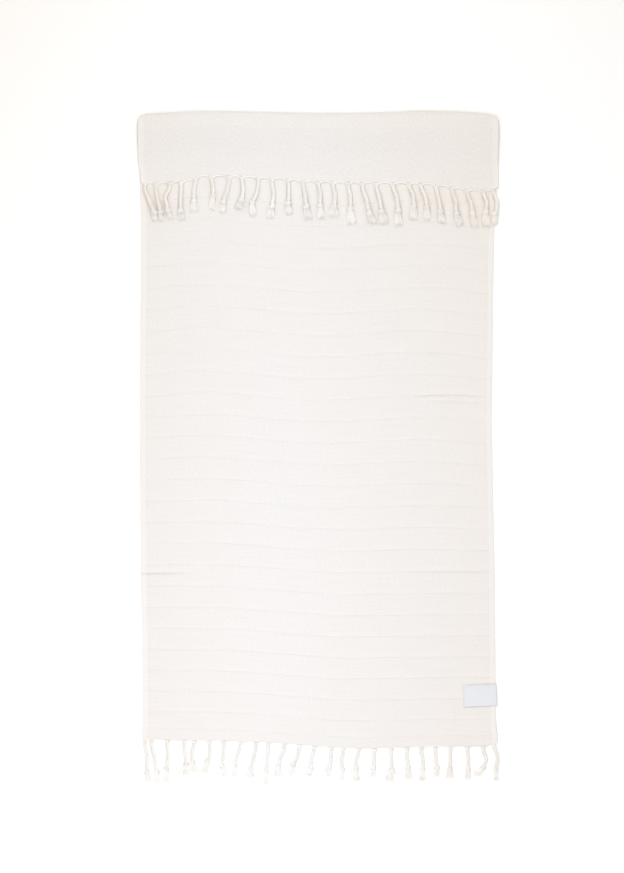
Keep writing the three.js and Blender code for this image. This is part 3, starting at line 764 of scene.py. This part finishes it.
def made_by_tree(name, mesh, tree, inputs):
    """Runs a geometry tree on a mesh and keeps the result as a plain mesh."""
    source = new_object(name + "_lines", mesh)
    modifier = source.modifiers.new("Made", "NODES")
    modifier.node_group = tree
    for label, value in inputs.items():
        modifier[tree.interface.items_tree[label].identifier] = value
    evaluated = source.evaluated_get(bpy.context.evaluated_depsgraph_get())
    result = bpy.data.meshes.new_from_object(evaluated)
    source.modifiers.remove(modifier)
    bpy.data.objects.remove(source)
    result.name = name
    return new_object(name, result)


def bundle_mesh(name, bundles):
    """The bundles' centre lines as one mesh, their sizes as attributes of its points."""
    points, edges, values = [], [], {field: [] for field in (*BUNDLE_FIELDS, "side", "up")}
    for number, bundle in enumerate(bundles):
        count = len(bundle["points"])
        first = sum(len(p) for p in points)
        points.append(bundle["points"])
        edges += [(first + i, first + i + 1) for i in range(count - 1)]
        for field in values:
            value = number if field == "bundle" else bundle[field]
            shape = (count, 3) if field in ("side", "up") else (count,)
            values[field].append(np.broadcast_to(value, shape))
    mesh = bpy.data.meshes.new(name)
    mesh.from_pydata((np.concatenate(points) + TOWEL_SHIFT).tolist(), edges, [])
    for field, parts in values.items():
        kind, key = ("FLOAT_VECTOR", "vector") if field in ("side", "up") else ("FLOAT", "value")
        data = np.concatenate(parts).astype(np.float32).ravel()
        mesh.attributes.new(field, kind, "POINT").data.foreach_set(key, data)
    return mesh


# Tassels

def unit(vectors):
    return vectors / np.linalg.norm(vectors, axis=-1, keepdims=True)


def hem_at(fringe, x):
    """Where a hem lies at a real place across the towel."""
    left, right = (smooth_between(fringe["edges"]["y"], fringe["edges"][side], fringe["hem"])
                   for side in ("left", "right"))
    straight = ((x - left) / (right - left) - 0.5) * CLOTH_WIDTH
    return fringe["hem"] + float(smooth_between(STATIONS["x"], STATIONS[fringe["line"]], straight))


def gather_of(fringe, root):
    """The middle and half width of a tassel's share of the hem, which ends at the selvedge."""
    left, right = (float(smooth_between(fringe["edges"]["y"], fringe["edges"][side], fringe["hem"]))
                   for side in ("left", "right"))
    near = max(root - GATHER_WIDTH / 2, left + GATHER_INSET)
    far = min(root + GATHER_WIDTH / 2, right - GATHER_INSET)
    return (near + far) / 2, (far - near) / 2


def unflattened(fringe, height):
    """The height that a point is given so that it ends up at a wanted one once flattened."""
    return fringe["rest"] + (height - fringe["rest"]) / FLATNESS


def knot_centre(fringe, tassel):
    y = hem_at(fringe, tassel["root"]) - tassel["drop"]
    height = fringe["rest"] + KNOT_HALF_HEIGHT + tassel["lift"] / FLATNESS
    return np.array([tassel["root"] + tassel["knot"], y, height])


def rope_axis(fringe, tassel):
    """The middle line of a tassel's rope, from inside the hem to its knot."""
    gather_x, half_gather = gather_of(fringe, tassel["root"])
    hem_y = hem_at(fringe, tassel["root"])
    knot = knot_centre(fringe, tassel)
    rest = fringe["rest"] + ROPE_HALF_HEIGHT
    start = [gather_x, hem_y + 0.0015, unflattened(fringe, fringe["start"])]
    neck = [tassel["root"], hem_y - GATHER_LENGTH * 0.8, rest]
    held_up = ROPE_LIFT_SHARE * tassel["lift"] / FLATNESS
    middle = [tassel["root"] + tassel["middle"], (hem_y + knot[1]) / 2 - 0.005, rest + held_up]
    line, along = line_through([start, neck, middle, knot], PLY_STEP)
    return line, along, half_gather


def frame_along(line, sideways):
    """The side and up directions of a line, as near as can be to a wanted side direction."""
    run = unit(np.gradient(line, axis=0))
    up = unit(np.cross(run, sideways))
    return np.cross(up, run), up


def ply_bundles(fringe, tassel):
    """The two plies of a tassel's rope, each a ring of yarns that fans out at the hem."""
    axis, along, half_gather = rope_axis(fringe, tassel)
    side, up = frame_along(axis, np.array([1.0, 0.0, 0.0]))
    gathered = np.clip(1 - along / GATHER_LENGTH, 0, 1)[:, None]
    fan = gathered**2.2
    twisted = np.clip(along - 0.35 * GATHER_LENGTH, 0, None)
    angle = fringe["twist"] * 2 * math.pi * twisted / TWIST_LENGTH
    at_knot = np.clip((along[-1] - along) / 0.008, 0.55, 1)[:, None]
    bundles = []
    for ply in (0, 1):
        turn = (angle + math.pi * ply)[:, None]
        outward = side * np.cos(turn) + up * np.sin(turn)
        hem_side = np.array([1.0 - 2.0 * ply, 0.0, 0.0])
        reach = PLY_OFFSET * at_knot * (1 - fan) + half_gather / 2 * fan
        outward = unit(outward * (1 - fan) + hem_side * fan + 1e-9)
        line = axis + outward * reach
        own_side, own_up = frame_along(line, outward)
        width = (PLY_RADIUS * at_knot * (1 - fan) + half_gather / 2 * fan)[:, 0]
        height = (PLY_RADIUS * at_knot * (1 - fan) + 0.0004 * fan)[:, 0]
        length = np.concatenate([[0], np.cumsum(np.linalg.norm(np.diff(line, axis=0), axis=1))])
        bundles.append({
            "points": line, "side": own_side, "up": own_up, "strands": PLY_YARNS, "filling": 0.0,
            "turn": 0.6 - fringe["twist"] * 2 * math.pi * length / YARN_TWIST_LENGTH * (1 - fan[:, 0]),
            "half_width": width, "half_height": height, "loose": 0.0,
            "thickness": PLY_YARN_RADIUS * (1 - 0.25 * fan[:, 0]),
        })
    return bundles


def arch_bundles(fringe):
    """The outer warp ends of each two neighbours, which run along the hem between them."""
    bundles = []
    roots = fringe["tassels"]["root"]
    for near, far in zip(roots[:-1], roots[1:]):
        bend = min(0.0075, 0.3 * (far - near))
        rope_height = fringe["rest"] + ROPE_HALF_HEIGHT
        hem_height = unflattened(fringe, fringe["start"])
        places = (
            (near + ARCH["end"], ARCH_DROP, rope_height), (near + bend, ARCH["bend_drop"], hem_height),
            ((near + far) / 2, ARCH["middle_drop"], hem_height),
            (far - bend, ARCH["bend_drop"], hem_height), (far - ARCH["end"], ARCH_DROP, rope_height),
        )
        line, along = line_through([(x, hem_at(fringe, x) - drop, z) for x, drop, z in places], 0.0022)
        side, up = frame_along(line, np.array([0.0, 1.0, 0.0]))
        bundles.append({
            "points": line, "side": side, "up": up, "strands": ARCH["yarns"], "filling": 0.0,
            "turn": 2 * math.pi * along / ARCH["turn_length"], "half_width": ARCH["half_width"],
            "half_height": ARCH["half_height"], "loose": 0.0, "thickness": ARCH["yarn_radius"],
        })
    return bundles


def knot_bundle(fringe, tassel, random):
    """The knot: a thick strand wound about the rope and tucked into itself."""
    centre = knot_centre(fringe, tassel)
    axis = rope_axis(fringe, tassel)[0]
    run = unit((axis[-1] - axis[-5]) * [1, 1, 0])
    side = np.array([-run[1], run[0], 0.0]) * -1
    up = np.array([0.0, 0.0, 1.0])
    turns = np.linspace(0, KNOT_TURNS, KNOT_POINTS)
    angle = (fringe["twist"] * 2 * math.pi * turns + random.uniform(0, 2 * math.pi))[:, None]
    tucked = 0.35 + 0.65 * soft_step(np.minimum(turns, KNOT_TURNS - turns) / 0.3)[:, None]
    outward = side * np.cos(angle) * KNOT_SIDE_REACH + up * np.sin(angle) * KNOT_UP_REACH
    slant = random.uniform(0.0008, 0.0022) * np.sin(angle + random.uniform(0, 2 * math.pi))
    onward = ((turns / KNOT_TURNS - 0.5) * KNOT_LENGTH)[:, None] + slant
    line = centre + outward * tucked + run * onward
    own_side, own_up = frame_along(line, unit(outward))
    return {
        "points": line, "side": own_side, "up": own_up, "strands": PLY_YARNS, "filling": 0.0,
        "turn": 2 * math.pi * turns * 0.8, "half_width": KNOT_BUNDLE, "half_height": KNOT_BUNDLE,
        "loose": 0.0, "thickness": PLY_YARN_RADIUS,
    }


def brush_bundles(fringe, tassel):
    """The cut ends below a knot: a fan of soft locks with finer yarns between and over them."""
    knot = knot_centre(fringe, tassel)
    run = unit(np.array([tassel["lean"], -tassel["brush"], 0.0]))
    tip = knot + run * tassel["brush"] * 1.06
    tip[2] = fringe["rest"] + BRUSH_TIP_HEIGHT
    middle = knot + (tip - knot) * 0.4
    middle[2] = fringe["rest"] + BRUSH_MIDDLE_HEIGHT + BRUSH_LIFT_SHARE * tassel["lift"] / FLATNESS
    line, along = line_through([knot, middle, tip], tassel["brush"] / (BRUSH_POINTS - 1))
    share = along / along[-1]
    side, up = frame_along(line, np.array([1.0, 0.0, 0.0]))
    spread = {
        "points": line, "side": side, "up": up, "filling": 0.5, "turn": 0.0,
        "half_width": BRUSH_ROOT + (tassel["spread"] / 2 - BRUSH_ROOT) * share**0.75,
    }
    locks = {"strands": BRUSH_LOCKS, "half_height": 0.0022 - 0.0019 * share, "loose": 0.6 * share,
             "thickness": BRUSH_LOCK_RADIUS * (1 - 0.85 * share**1.5)}
    yarns = {"strands": BRUSH_YARNS, "half_height": 0.0030 - 0.0026 * share, "loose": 1.3 * share,
             "thickness": BRUSH_YARN_RADIUS * (1 - 0.45 * share)}
    return [spread | locks, spread | yarns]


def wisp_bundles(fringe):
    """Thin wisps that have come loose from a brush."""
    bundles = []
    for row in range(len(LOOSE_WISPS["tassel"])):
        wisp = {name: column[row] for name, column in LOOSE_WISPS.items()}
        tassel = {name: column[int(wisp["tassel"])] for name, column in fringe["tassels"].items()}
        knot = knot_centre(fringe, tassel)
        low_z = fringe["rest"] + 0.0022
        bend = [knot[0] + wisp["bend_x"], knot[1] + wisp["bend_y"], low_z + 0.002]
        end = [knot[0] + wisp["end_x"], knot[1] + wisp["end_y"], low_z]
        line, along = line_through([knot, bend, end], 0.0025)
        side, up = frame_along(line, np.array([0.7, 0.7, 0.0]))
        bundles.append({
            "points": line, "side": side, "up": up, "strands": WISP_YARNS, "filling": 0.5, "turn": 0.0,
            "half_width": WISP_SPREAD, "half_height": WISP_SPREAD / 2, "loose": 0.5 * along / along[-1],
            "thickness": WISP_YARN_RADIUS,
        })
    return bundles


def tassel_pieces(fringe, tree, rope_material, brush_material):
    """A fringe's ropes with their knots, and its brushes."""
    random = np.random.default_rng(fringe["seed"])
    ropes, brushes = arch_bundles(fringe), []
    for row in range(len(fringe["tassels"]["root"])):
        tassel = {name: column[row] for name, column in fringe["tassels"].items()}
        ropes += ply_bundles(fringe, tassel)
        ropes.append(knot_bundle(fringe, tassel, random))
        brushes += brush_bundles(fringe, tassel)
    if fringe["name"] == "hem":
        ropes += wisp_bundles(fringe)
    made = []
    for part, bundles, material, unevenness in (
        ("ropes", ropes, rope_material, 0.0), ("brushes", brushes, brush_material, BRUSH_CUT_UNEVENNESS),
    ):
        name = f"{fringe['name']}_tassel_{part}"
        made.append(made_by_tree(name, bundle_mesh(name + "_lines", bundles), tree, {
            "Yarn Sides": YARN_SIDES, "Waviness": YARN_WAVE["reach"],
            "Wave Length": YARN_WAVE["length"], "Cut Unevenness": unevenness,
            "Rest Height": fringe["rest"], "Flatness": FLATNESS, "Seed": fringe["seed"],
            "Material": material,
        }))
    return made


# Label

def label_places():
    """The label's rows and columns, closer together at its edges."""
    edge = np.array([0, 0.00025, 0.0007, 0.0015, 0.003, 0.005])
    half_width, half_height = LABEL["width"] / 2, LABEL["height"] / 2
    across = filled(np.concatenate([-half_width + edge, half_width - edge]), 0.002)
    down = filled(np.concatenate([-half_height + edge, half_height - edge]), 0.002)
    return across, down


def label_height(x, y):
    """How high the label's underside lies: it stands off a little at its upper right."""
    half_width, half_height = LABEL["width"] / 2, LABEL["height"] / 2
    upper = soft_step((y / half_height + 1) / 2) ** 4
    right = soft_step((x / half_width + 1) / 2)
    lift = 0.0006 * upper + 0.0012 * upper * right
    return LABEL_REST + lift + 0.00025 * (1 + ripple(x, y, 0.05, 31))


def on_label(x, y, z):
    """Turns a place on the flat label to where it is sewn."""
    turn = LABEL["turn"]
    laid_x = LABEL["x"] + x * math.cos(turn) - y * math.sin(turn)
    laid_y = LABEL["y"] + x * math.sin(turn) + y * math.cos(turn)
    return np.stack(np.broadcast_arrays(laid_x, laid_y, z), axis=-1)


def label_tape(material):
    """The label: a short piece of satin tape, its edges folded under and a little rounded."""
    across, down = label_places()
    x, y = np.meshgrid(across, down)
    from_edge = np.minimum(LABEL["width"] / 2 - np.abs(x), LABEL["height"] / 2 - np.abs(y))
    folded = 1 + 0.5 * soft_step((0.006 - from_edge) / 0.001)
    thickness = LABEL["thickness"] * folded * edge_share(from_edge * 1.3)
    middle = label_height(x, y) + LABEL["thickness"] * 0.75
    back = on_label(x, y, middle - thickness / 2)
    front = on_label(x, y, middle + thickness / 2)
    return closed_sheet("label_tape", back, front, across, down, material)


def stitch_tree():
    """Sets a short thread at even steps along each line of the mesh."""
    tree, given = new_group("Stitches", {
        "Spacing": "Float", "Stitch Length": "Float", "Thread Radius": "Float", "Material": "Material",
    })
    line = add(tree, "GeometryNodeMeshToCurve", {"Mesh": given.outputs["Geometry"]})
    points = add(tree, "GeometryNodeCurveToPoints", {"Curve": line, "Length": given.outputs["Spacing"]},
                 mode="LENGTH")
    stretch = add(tree, "ShaderNodeCombineXYZ", {
        0: given.outputs["Thread Radius"], 1: given.outputs["Thread Radius"],
        2: add(tree, "ShaderNodeMath", [given.outputs["Stitch Length"], 0.5], "MULTIPLY"),
    })
    thread = add(tree, "GeometryNodeMeshUVSphere", {"Segments": 8, "Rings": 6, "Radius": 1.0})
    stitches = add(tree, "GeometryNodeInstanceOnPoints", {
        "Points": points.outputs["Points"], "Instance": socket_of(thread.outputs, 0),
        "Rotation": points.outputs["Rotation"], "Scale": stretch,
    })
    body = add(tree, "GeometryNodeRealizeInstances", {"Geometry": stitches})
    body = add(tree, "GeometryNodeSetShadeSmooth", {"Geometry": body})
    body = add(tree, "GeometryNodeSetMaterial", {"Geometry": body, "Material": given.outputs["Material"]})
    add(tree, "NodeGroupOutput", {"Geometry": body})
    return tree


def label_stitches(material):
    """The sewing along the label's four edges."""
    half_width = LABEL["width"] / 2 - STITCH["inset"]
    half_height = LABEL["height"] / 2 - STITCH["inset"]
    points, edges = [], []
    for start, end in (((-1, 1), (1, 1)), ((-1, -1), (-1, 1)), ((-1, -1), (1, -1)), ((1, -1), (1, 1))):
        run = np.linspace(0, 1, 40)
        x = half_width * (start[0] + (end[0] - start[0]) * run)
        y = half_height * (start[1] + (end[1] - start[1]) * run)
        z = label_height(x, y) + LABEL["thickness"] * 1.5
        edges += [(len(points) + i, len(points) + i + 1) for i in range(len(run) - 1)]
        points += (on_label(x, y, z) + TOWEL_SHIFT).tolist()
    mesh = bpy.data.meshes.new("label_stitch_lines")
    mesh.from_pydata(points, edges, [])
    return made_by_tree("label_stitches", mesh, stitch_tree(), {
        "Spacing": STITCH["spacing"], "Stitch Length": STITCH["length"],
        "Thread Radius": STITCH["radius"], "Material": material,
    })


# Materials

def add_painted_hollow_shade(tree, colour, painted_shade_colour, distance, deepest, shallowest):
    """Paints shade into a colour: darker and warmer in narrow hollows, found by ambient occlusion, standing
    in for the warm shadows there. The last two numbers are how open a hollow is where the painted shade is
    full and where it ends."""
    open_share = add(tree, "ShaderNodeAmbientOcclusion", {"Distance": distance}, samples=8)
    shade = add(tree, "ShaderNodeMapRange", {
        "Value": open_share.outputs["AO"], "From Min": deepest, "From Max": shallowest,
        "To Min": 1.0, "To Max": 0.0})
    fully_painted_shade = add(tree, "ShaderNodeMix", {"Factor": 1.0, "A": colour, "B": linear(painted_shade_colour)},
                 data_type="RGBA", blend_type="MULTIPLY")
    return add(tree, "ShaderNodeMix", {"Factor": shade, "A": colour, "B": fully_painted_shade}, data_type="RGBA")


def woven_cotton():
    """Flat-woven cotton, washed and unpressed: a matt cream with broken weft threads on the
    front and a fine upright zigzag on the back. The threads are drawn 2.4 mm apart, about
    twice as coarse as they are, because the real ones are too fine to show."""
    material, tree, shader = new_material("flat-woven cotton", Roughness=0.95, Sheen_Weight=0.15)
    place = add(tree, "ShaderNodeUVMap", uv_map="cloth_metres")
    back = add(tree, "ShaderNodeAttribute", attribute_name="back_face")
    weft = add(tree, "ShaderNodeMapping", {"Vector": place, "Scale": (130.0, 420.0, 1.0)})
    weft = add(tree, "ShaderNodeTexNoise", {"Vector": weft, "Scale": 1.0, "Detail": 2.0})
    slubs = add(tree, "ShaderNodeMapping", {"Vector": place, "Scale": (8.0, 300.0, 1.0)})
    slubs = add(tree, "ShaderNodeTexNoise", {"Vector": slubs, "Scale": 1.0, "Detail": 1.0})
    front = add(tree, "ShaderNodeMix", {
        "Factor": 0.32, "A": weft.outputs["Fac"], "B": slubs.outputs["Fac"]})
    upright = add(tree, "ShaderNodeMapping", {"Vector": place, "Scale": (270.0, 150.0, 1.0)})
    upright = add(tree, "ShaderNodeTexNoise", {"Vector": upright, "Scale": 1.0, "Detail": 2.0})
    threads = add(tree, "ShaderNodeMix", {"Factor": back.outputs["Fac"], "A": front, "B": upright})
    tone = add(tree, "ShaderNodeMapRange", {
        "Value": threads, "From Min": 0.3, "From Max": 0.7, "To Min": 0.0, "To Max": 1.0})
    colour = add(tree, "ShaderNodeMix",
                 {"Factor": tone, "A": linear("#D9D5D0"), "B": linear("#E2DDD8")}, data_type="RGBA")
    axes = add(tree, "ShaderNodeSeparateXYZ", [place])
    from_middle = add(tree, "ShaderNodeMath", [axes.outputs["X"]], "ABSOLUTE")
    inner = CLOTH_WIDTH / 2 - SELVEDGE_WIDTH
    band = add(tree, "ShaderNodeMapRange", {
        "Value": from_middle, "From Min": inner, "From Max": inner + 0.0015, "To Min": 0.0, "To Max": 0.5})
    colour = add(tree, "ShaderNodeMix", {"Factor": band, "A": colour, "B": linear("#E6E1DD")},
                 data_type="RGBA")
    # Painted shade: the cloth turns warmer and darker in narrow hollows, beside and under the tassels and
    # at the fold.
    colour = add_painted_hollow_shade(tree, colour, "#FDF8F1", 0.016, 0.6, 0.93)
    bump = add(tree, "ShaderNodeBump", {"Strength": 0.7, "Distance": 0.0004, "Height": threads})
    tree.links.new(socket_of(colour.outputs, 0), shader.inputs["Base Color"])
    tree.links.new(bump.outputs["Normal"], shader.inputs["Normal"])
    return material


def cotton_yarn(name, light, dark, painted_shade_colour):
    """Soft cotton yarn: matt and slightly uneven from one yarn to the next, with fine fibres along it. A
    warm, darker shade is painted into the hollows between the yarns."""
    material, tree, shader = new_material(name, Roughness=0.95, Sheen_Weight=1.0, Sheen_Roughness=0.5)
    tone = add(tree, "ShaderNodeAttribute", attribute_name="tone")
    colour = add(tree, "ShaderNodeMix",
                 {"Factor": tone.outputs["Fac"], "A": linear(light), "B": linear(dark)}, data_type="RGBA")
    # Painted shade: warmer and darker where the yarns close in on each other and on the cloth.
    colour = add_painted_hollow_shade(tree, colour, painted_shade_colour, 0.004, 0.2, 0.75)
    place = add(tree, "ShaderNodeTexCoord")
    fibres = add(tree, "ShaderNodeTexNoise", {
        "Vector": place.outputs["Object"], "Scale": 1400.0, "Detail": 2.0})
    bump = add(tree, "ShaderNodeBump", {
        "Strength": 0.6, "Distance": 0.0003, "Height": fibres.outputs["Fac"]})
    tree.links.new(socket_of(colour.outputs, 0), shader.inputs["Base Color"])
    tree.links.new(bump.outputs["Normal"], shader.inputs["Normal"])
    return material


def satin_tape():
    """Woven satin tape: a pale grey blue with a soft sheen and fine lines across it."""
    material, tree, shader = new_material("satin-woven tape", Roughness=0.5, Sheen_Weight=0.1)
    place = add(tree, "ShaderNodeUVMap", uv_map="cloth_metres")
    axes = add(tree, "ShaderNodeSeparateXYZ", [place])
    lines = add(tree, "ShaderNodeMath", [axes.outputs["Y"], 2 * math.pi / 0.0008], "MULTIPLY")
    lines = add(tree, "ShaderNodeMath", [lines], "SINE")
    cloudy = add(tree, "ShaderNodeTexNoise", {"Vector": place, "Scale": 60.0, "Detail": 2.0})
    colour = add(tree, "ShaderNodeMix", {
        "Factor": cloudy.outputs["Fac"], "A": linear("#D4D5D8"), "B": linear("#D8D9DB")}, data_type="RGBA")
    bump = add(tree, "ShaderNodeBump", {"Strength": 0.3, "Distance": 0.0001, "Height": lines})
    tree.links.new(socket_of(colour.outputs, 0), shader.inputs["Base Color"])
    tree.links.new(bump.outputs["Normal"], shader.inputs["Normal"])
    return material


def sewing_thread():
    """Spun polyester thread in a warm grey, which draws a thin line round the label."""
    material, tree, shader = new_material("polyester sewing thread", Roughness=0.6)
    place = add(tree, "ShaderNodeTexCoord")
    spun = add(tree, "ShaderNodeTexNoise", {"Vector": place.outputs["Object"], "Scale": 2500.0})
    colour = add(tree, "ShaderNodeMix", {
        "Factor": spun.outputs["Fac"], "A": linear("#A39C98"), "B": linear("#BDB7B4")}, data_type="RGBA")
    tree.links.new(socket_of(colour.outputs, 0), shader.inputs["Base Color"])
    return material


# The pieces

cotton = woven_cotton()
# The last colour of each yarn is the painted shade in its hollows.
rope_yarn = cotton_yarn("twisted cotton yarn", "#F1EEE9", "#ECE9E2", "#F1E9DF")
brush_yarn = cotton_yarn("untwisted cotton yarn", "#F2EFEA", "#EDEAE4", "#F6EEE4")
yarns_tree = yarn_tree()

cloth = towel_cloth(cotton)
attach(cloth, "root")
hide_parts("cloth")

for fringe in FRINGES:
    for piece in tassel_pieces(fringe, yarns_tree, rope_yarn, brush_yarn):
        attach(piece, "root")
        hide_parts(fringe["node"])

tape = label_tape(satin_tape())
stitches = label_stitches(sewing_thread())
for piece in (tape, stitches):
    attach(piece, "root")
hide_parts("label")


# The floor, the light and the camera

def paper_floor():
    """A wide sheet of white paper, so pale that it burns out around the towel."""
    reach = 4.0
    mesh = bpy.data.meshes.new("floor")
    corners = [(-reach, -reach, 0), (reach, -reach, 0), (reach, reach, 0), (-reach, reach, 0)]
    mesh.from_pydata(corners, [], [(0, 1, 2, 3)])
    material, _, _ = new_material("white paper", Base_Color=linear("#F4F4F4"), Roughness=0.9)
    mesh.materials.append(material)
    new_object("floor", mesh)


def lamp(name, kind, energy, place, target, **settings):
    """A lamp at a place, turned towards a target."""
    data = bpy.data.lights.new(name, kind)
    data.energy = energy
    for setting, value in settings.items():
        setattr(data, setting, value)
    light = new_object(name, data)
    light.location = place
    aim = light.location.copy()
    aim.xyz = target
    light.rotation_euler = (aim - light.location).to_track_quat("-Z", "Y").to_euler()
    light.visible_camera = False


paper_floor()
lamp("window", "SUN", 1.0, (-0.3, 3.0, 2.5), (0, 0, 0), angle=math.radians(70))
lamp("strip_above", "AREA", 0.808, (-0.13, 0.0, 0.55), (-0.13, 0.0, 0), color=(0.48, 1.00, 1.76),
     shape="RECTANGLE", size=0.12, size_y=2.2)
lamp("soft_box", "AREA", 50, (0.0, 0.0, 3.2), (0.0, 0.0, 0), color=(1.00, 1.00, 1.00),
     shape="RECTANGLE", size=2.4, size_y=3.2)
lamp("lower_fill", "AREA", 31, (-0.6, -1.9, 2.2), (0, -0.4, 0), color=(1.07, 1.00, 0.99),
     shape="DISK", size=2.2)
lamp("upper_fill", "AREA", 18.2, (0.0, 1.9, 2.2), (0, 0.4, 0), color=(1.16, 1.00, 0.79),
     shape="DISK", size=2.2)
lamp("left_fill", "AREA", 2.5, (-2.0, 0.0, 1.8), (-0.2, 0.0, 0), color=(1.00, 1.00, 0.60),
     shape="DISK", size=2.0)
lamp("right_fill", "AREA", 6.5, (2.0, 0.0, 1.8), (0.2, 0.0, 0), color=(0.79, 1.00, 1.33),
     shape="DISK", size=2.0)

world = bpy.data.worlds.new("studio")
world.use_nodes = True
world.node_tree.nodes["Background"].inputs["Color"].default_value = (1.0, 1.0, 1.0, 1.0)
world.node_tree.nodes["Background"].inputs["Strength"].default_value = 0.148
bpy.context.scene.world = world
bpy.context.scene.view_settings.view_transform = "Standard"

camera_data = bpy.data.cameras.new("camera")
camera_data.lens = VIEW_LENS
camera_data.sensor_width = VIEW_SENSOR
camera_data.clip_end = 50
camera = bpy.data.objects.new("camera", camera_data)
camera_height = VIEW_HEIGHT * VIEW_LENS / VIEW_SENSOR
camera.location = (VIEW_CENTRE[0] + TOWEL_SHIFT[0], VIEW_CENTRE[1] + TOWEL_SHIFT[1], camera_height)
bpy.context.collection.objects.link(camera)
bpy.context.scene.camera = camera
